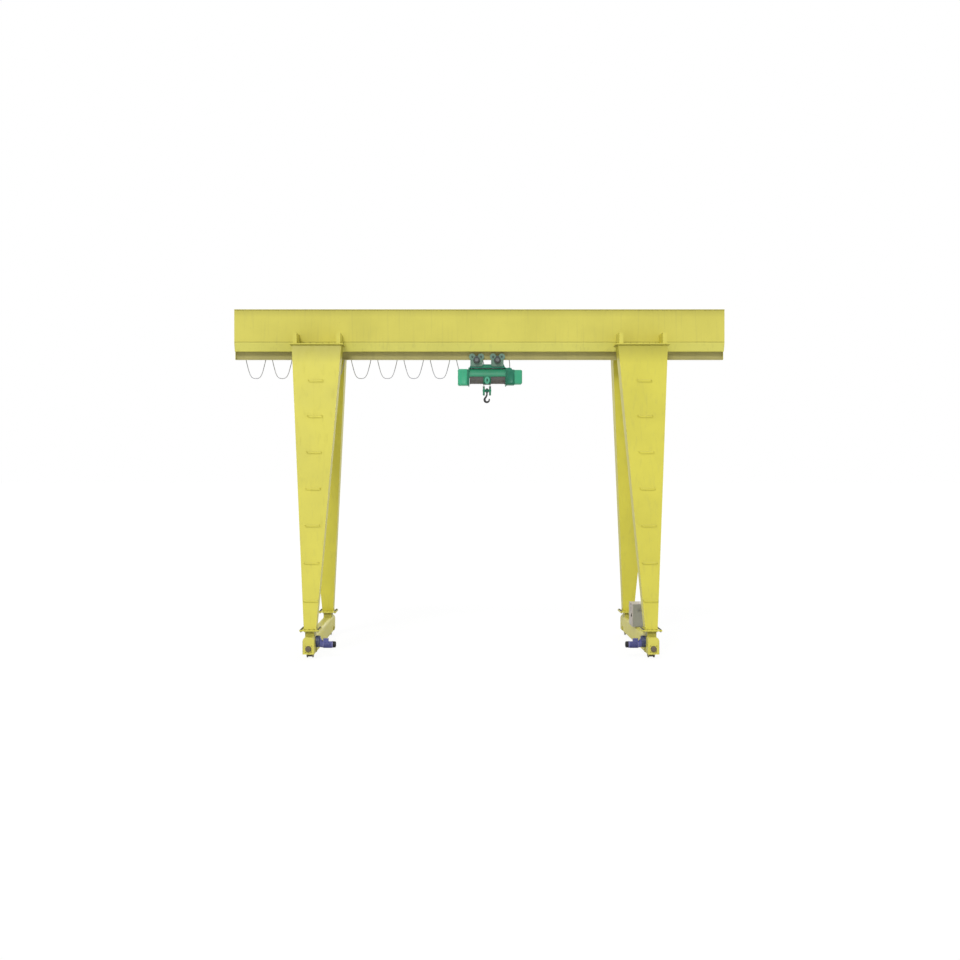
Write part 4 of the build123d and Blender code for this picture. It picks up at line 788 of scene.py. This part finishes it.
def electric_box_details():
    """Screwed covers of the electric box, and the end frame's bolts and flange beside it."""
    covers = [
        panel((-0.640, -0.250, 8.190), (-0.404, -0.238, 8.640), (0, -1, 0), border=0.020),
        panel((-0.640, 0.238, 8.190), (-0.404, 0.250, 8.640), (0, 1, 0), border=0.020),
        panel((-0.671, -0.205, 8.200), (-0.662, 0.205, 8.630), (-1, 0, 0), border=0.022,
              rounding=0.004),
    ]
    hand_over(fuse(covers), "electric_box_covers", TROLLEY, BRIGHT_GREEN)
    screws = [
        ((x, side * 0.2495, z), (0, side, 0))
        for side in SIDES for x in (-0.629, -0.415) for z in (8.202, 8.345, 8.485, 8.628)]
    screws += [
        ((-0.6705, y, z), (-1, 0, 0)) for y in (-0.194, 0.194) for z in (8.212, 8.415, 8.618)]
    bolts("electric_box_screws", TROLLEY, screws, 0.012, 0.005, BRIGHT_GREEN)

    frame_face = -0.3415
    places = [
        ((frame_face, y, z), (-1, 0, 0)) for y in (-0.235, 0.235) for z in (8.24, 8.37, 8.50, 8.63)]
    bolts("end_frame_bolts", TROLLEY, places, 0.022, 0.010, DARK_GREEN)
    flange = slab((-0.3825, -0.239, 8.166), (frame_face, 0.239, 8.662), 0.012)
    hand_over(flange, "electric_box_flange", TROLLEY, DARK_GREEN)


def gearbox_details():
    """Covers, flanges, bolts and plugs of the hoist gearbox."""
    housing = [
        panel((0.880, -0.240, 8.215), (1.066, -0.230, 8.610), (0, -1, 0), border=0.018,
              depth=0.005),
        panel((0.880, 0.230, 8.215), (1.066, 0.240, 8.610), (0, 1, 0), border=0.018,
              depth=0.005),
        slab((0.847, -0.238, 8.188), (0.872, 0.238, 8.696), 0.006),
        slab((1.072, -0.238, 8.188), (1.096, 0.238, 8.643), 0.006),
    ]
    hand_over(fuse(housing), "gearbox_flanges", TROLLEY, DARK_GREEN)
    places = [
        ((x, side * 0.2395, z), (0, side, 0))
        for side in SIDES for x in (0.891, 1.055) for z in (8.228, 8.345, 8.48, 8.598)]
    places += [((1.096, y, z), (1, 0, 0)) for y in (-0.229, 0.229) for z in (8.26, 8.42, 8.58)]
    bolts("gearbox_bolts", TROLLEY, places, 0.020, 0.009, DARK_GREEN)
    plugs = [
        turned(0.018, 0.020, (0.905, -0.10, 8.708), UP, sides=16),
        turned(0.024, 0.012, (0.905, 0.06, 8.704), UP, sides=16),
    ]
    hand_over(fuse(plugs), "gearbox_plugs", TROLLEY, DARK_GREY)


def motor_cover_details():
    """Louvres in the motor cover's end, and the two steps of its flange."""
    louvres = []
    for row in range(7):
        z = 8.300 + row * 0.040
        louvres.append(slab((1.333, -0.120, z - 0.008), (1.343, 0.120, z + 0.008)))
    louvres.append(slab((1.1005, -0.2245, 8.240), (1.1125, 0.2245, 8.600)))
    louvres.append(slab((1.1005, -0.185, 8.1945), (1.1125, 0.185, 8.6455)))
    hand_over(fuse(louvres), "motor_cover_louvres", TROLLEY, BRIGHT_GREEN)


def guide_details():
    """Rims of the rope guide, the lip of its oval outlet, and a black disc in it as painted shade.
    """
    outlet_z = 8.311
    rims = [hoop(0.2475, 0.0045, (x, 0, DRUM_Z), (1, 0, 0), 64, 6) for x in (0.1265, 0.3575)]
    hand_over(fuse(rims), "guide_rims", TROLLEY, DARK_GREEN)
    lip = hoop(0.028, 0.006, (0, 0, 0), (0, -1, 0), 40)
    lip_place = Matrix.Translation((HOOK_X, -0.286, outlet_z))
    lip.data.transform(lip_place @ Matrix.Diagonal((0.875, 1, 2.357, 1)))
    hand_over(lip, "nozzle_lip", TROLLEY, PALE_GREEN)
    # Painted shade: a thin black disc inside the outlet stands for the shade in its depth
    throat = turned(0.0195, 0.004, (HOOK_X, -0.2580, 0), (0, -1, 0), rounding=0.001)
    throat.data.transform(Matrix.Translation((0, 0, outlet_z)) @ Matrix.Diagonal((1, 1, 3.2, 1)))
    hand_over(throat, "nozzle_throat", TROLLEY, BLACK_PLASTIC)


def drum_rope():
    """Turns of rope lying on the drum on both sides of the guide."""
    pitch = 0.0142
    turn = hoop(0.2196, 0.0066, (0, 0, DRUM_Z), (1, 0, 0), 64, 7)
    places = [
        Matrix.Translation((first + index * pitch, 0, 0))
        for first, count in ((-0.2755, 28), (0.3725, 29)) for index in range(count)]
    hand_over(strew(turn, places), "drum_rope_turns", "drum", DRUM_ROPE)


shell_details()
electric_box_details()
gearbox_details()
motor_cover_details()
guide_details()
drum_rope()


# Trolley

def trolley_details():
    """Axle nuts, bogie bolts and pin plates, drive fins and boxes, and suspension bolts."""
    for number, x in enumerate((-0.223, 0.053, 0.429, 0.705), 1):
        places = [((x, side * 0.1335, 9.0603), (0, side, 0)) for side in SIDES]
        bolts(f"axle_nuts_{number}", f"trolley_wheels_{number}_body", places, 0.040, 0.016,
              DARK_GREY)
    plate_spots = [
        (dx, z) for half, z in ((0.165, 8.86), (0.12, 8.785), (0.165, 8.95))
        for dx in (-half, half)]
    studs = [
        ((centre + dx, side * 0.1115, z), (0, side, 0))
        for centre in BOGIE_CENTRES for side in SIDES for dx, z in plate_spots]
    bolts("bogie_plate_bolts", TROLLEY, studs, 0.026, 0.011, GREY_GREEN)

    drive_z, fin_count = 8.948, 20
    fins, caps, boxes, pins = [], [], [], []
    for centre in BOGIE_CENTRES:
        fins.append(hoop(0.0985, 0.006, (centre, -0.1160, drive_z), (0, 1, 0), 48, 8))
        fins.append(hoop(0.0985, 0.004, (centre, -0.1900, drive_z), (0, 1, 0), 48, 6))
        for index in range(fin_count):
            fin = slab((-0.002, -0.184, 0.094), (0.002, -0.126, 0.104), 0.001, 1)
            turn = Matrix.Rotation(2 * math.pi * index / fin_count, 4, "Y")
            fin.data.transform(Matrix.Translation((centre, 0, drive_z)) @ turn)
            fins.append(fin)
        caps.append(turned(
            0.054, 0.010, (centre, -0.2515, drive_z), (0, -1, 0), sides=40, dish=0.003,
            rounding=0.002))
        boxes.append(slab((centre - 0.042, -0.232, 9.036), (centre + 0.042, -0.150, 9.078), 0.006))
        pins.append(turned(0.030, 0.008, (centre, 0.115, 8.850), (0, 1, 0), sides=24))
    hand_over(fuse(fins), "trolley_drive_fins", TROLLEY, DARK_GREY)
    hand_over(fuse(caps), "trolley_drive_caps", TROLLEY, HUB_GREY)
    hand_over(fuse(boxes), "drive_terminal_boxes", TROLLEY, DARK_GREY)
    hand_over(fuse(pins), "bogie_pin_plates", TROLLEY, DARK_GREY)

    studs = [
        ((x, side * 0.150, 8.715), UP)
        for x in (-0.29, -0.15, 0.02, 0.24, 0.46, 0.64, 0.80) for side in SIDES]
    bolts("suspension_bolts", TROLLEY, studs, 0.030, 0.013, DARK_GREEN)


trolley_details()


# Hook block

def hook_details():
    """Rims and screws of the two sheave guards, and the collar over the hook."""
    sheave_z, guard_offset, guard_half, tab_half = 8.0, 0.097, 0.0255, 0.0195
    rims, screws = [], []
    for side in SIDES:
        guard_x = HOOK_X + side * guard_offset
        for face in SIDES:
            rim_centre = (guard_x + face * guard_half, 0, sheave_z)
            rims.append(hoop(0.150, 0.003, rim_centre, (1, 0, 0), 56, 6))
        for end in SIDES:
            low, high = sorted((end * 0.1465, end * 0.1520))
            rims.append(slab(
                (guard_x - tab_half, low, 7.998), (guard_x + tab_half, high, 8.056), 0.001, 1))
        face_centre = (guard_x + side * guard_half, 0, sheave_z)
        screws += ring_places(face_centre, (side, 0, 0), 0.132, 8, 0.39)
    hand_over(fuse(rims), "guard_rims", "hook_block", GREEN)
    bolts("guard_screws", "hook_block", screws, 0.014, 0.006, GREEN)
    collar = turned(0.044, 0.016, (HOOK_X, 0, 7.951), (0, 0, -1), rounding=0.004)
    hand_over(collar, "hook_collar", "hook_body", FORGED)


hook_details()


# Festoon fittings

def festoon_details():
    """Clamp over the cable on each saddle, and the clamp on its supply end."""
    clamps = []
    for index in range(FESTOON_COUNT + 1):
        x = FESTOON_FIRST + index * FESTOON_PITCH
        clamps.append(slab((x - 0.016, 0.283, 9.231), (x + 0.016, 0.317, 9.2545), 0.005))
    hand_over(fuse(clamps), "saddle_clamps", CRANE, ZINC)
    end = slab((-7.592, 0.280, 9.165), (-7.548, 0.320, 9.212), 0.006)
    hand_over(end, "cable_end_clamp", CRANE, BLACK_PLASTIC)


festoon_details()


# Stage

def white_floor():
    """Pale floor that the camera sees nearly pure white, with faint shadows."""
    glow_strength, glow_share = 1.037, 0.90
    finish = Finish("white_floor", (0.90, 0.90, 0.90), 0.9)
    rays = finish.tree.nodes.new("ShaderNodeLightPath")
    seen = Value(finish, rays.outputs["Is Camera Ray"])
    glow = finish.node(
        "ShaderNodeEmission", {}, {"Color": (1, 1, 1, 1), "Strength": glow_strength})
    surface = Value(finish, finish.shader.outputs[0])
    mixed = finish.node("ShaderNodeMixShader", {}, {0: seen * glow_share, 1: surface, 2: glow})
    finish.tree.links.new(mixed.socket, finish.tree.nodes["Material Output"].inputs["Surface"])
    clear_selection()
    bpy.ops.mesh.primitive_plane_add(size=1600, location=(0, 0, 0))
    floor = bpy.context.object
    floor.name = "floor"
    floor.data.materials.append(finish.material)


def studio_light():
    """White surroundings that light the crane softly, a key sun and a fill sun."""
    world = bpy.data.worlds.new("studio")
    bpy.context.scene.world = world
    world.use_nodes = True
    tree = world.node_tree
    background = tree.nodes["Background"]
    rays = tree.nodes.new("ShaderNodeLightPath")
    seen = rays.outputs["Is Camera Ray"]
    for kind in ("Is Glossy Ray", "Is Transmission Ray"):
        either = tree.nodes.new("ShaderNodeMath")
        either.operation = "MAXIMUM"
        tree.links.new(seen, either.inputs[0])
        tree.links.new(rays.outputs[kind], either.inputs[1])
        seen = either.outputs[0]
    soft_light, seen_white = 0.46, 1.0
    power = tree.nodes.new("ShaderNodeMapRange")
    power.inputs["To Min"].default_value = soft_light
    power.inputs["To Max"].default_value = seen_white
    tree.links.new(seen, power.inputs["Value"])
    tree.links.new(power.outputs[0], background.inputs["Strength"])
    background.inputs["Color"].default_value = (1, 1, 1, 1)

    for name, tilt, turn, energy, spread in (
            ("key_sun", 52, -16, 1.5, 16), ("fill_sun", 60, 160, 0.60, 40)):
        lamp = bpy.data.objects.new(name, bpy.data.lights.new(name, "SUN"))
        bpy.context.scene.collection.objects.link(lamp)
        lamp.data.energy = energy
        lamp.data.angle = math.radians(spread)
        lamp.rotation_euler = (math.radians(tilt), 0, math.radians(turn))


white_floor()
studio_light()
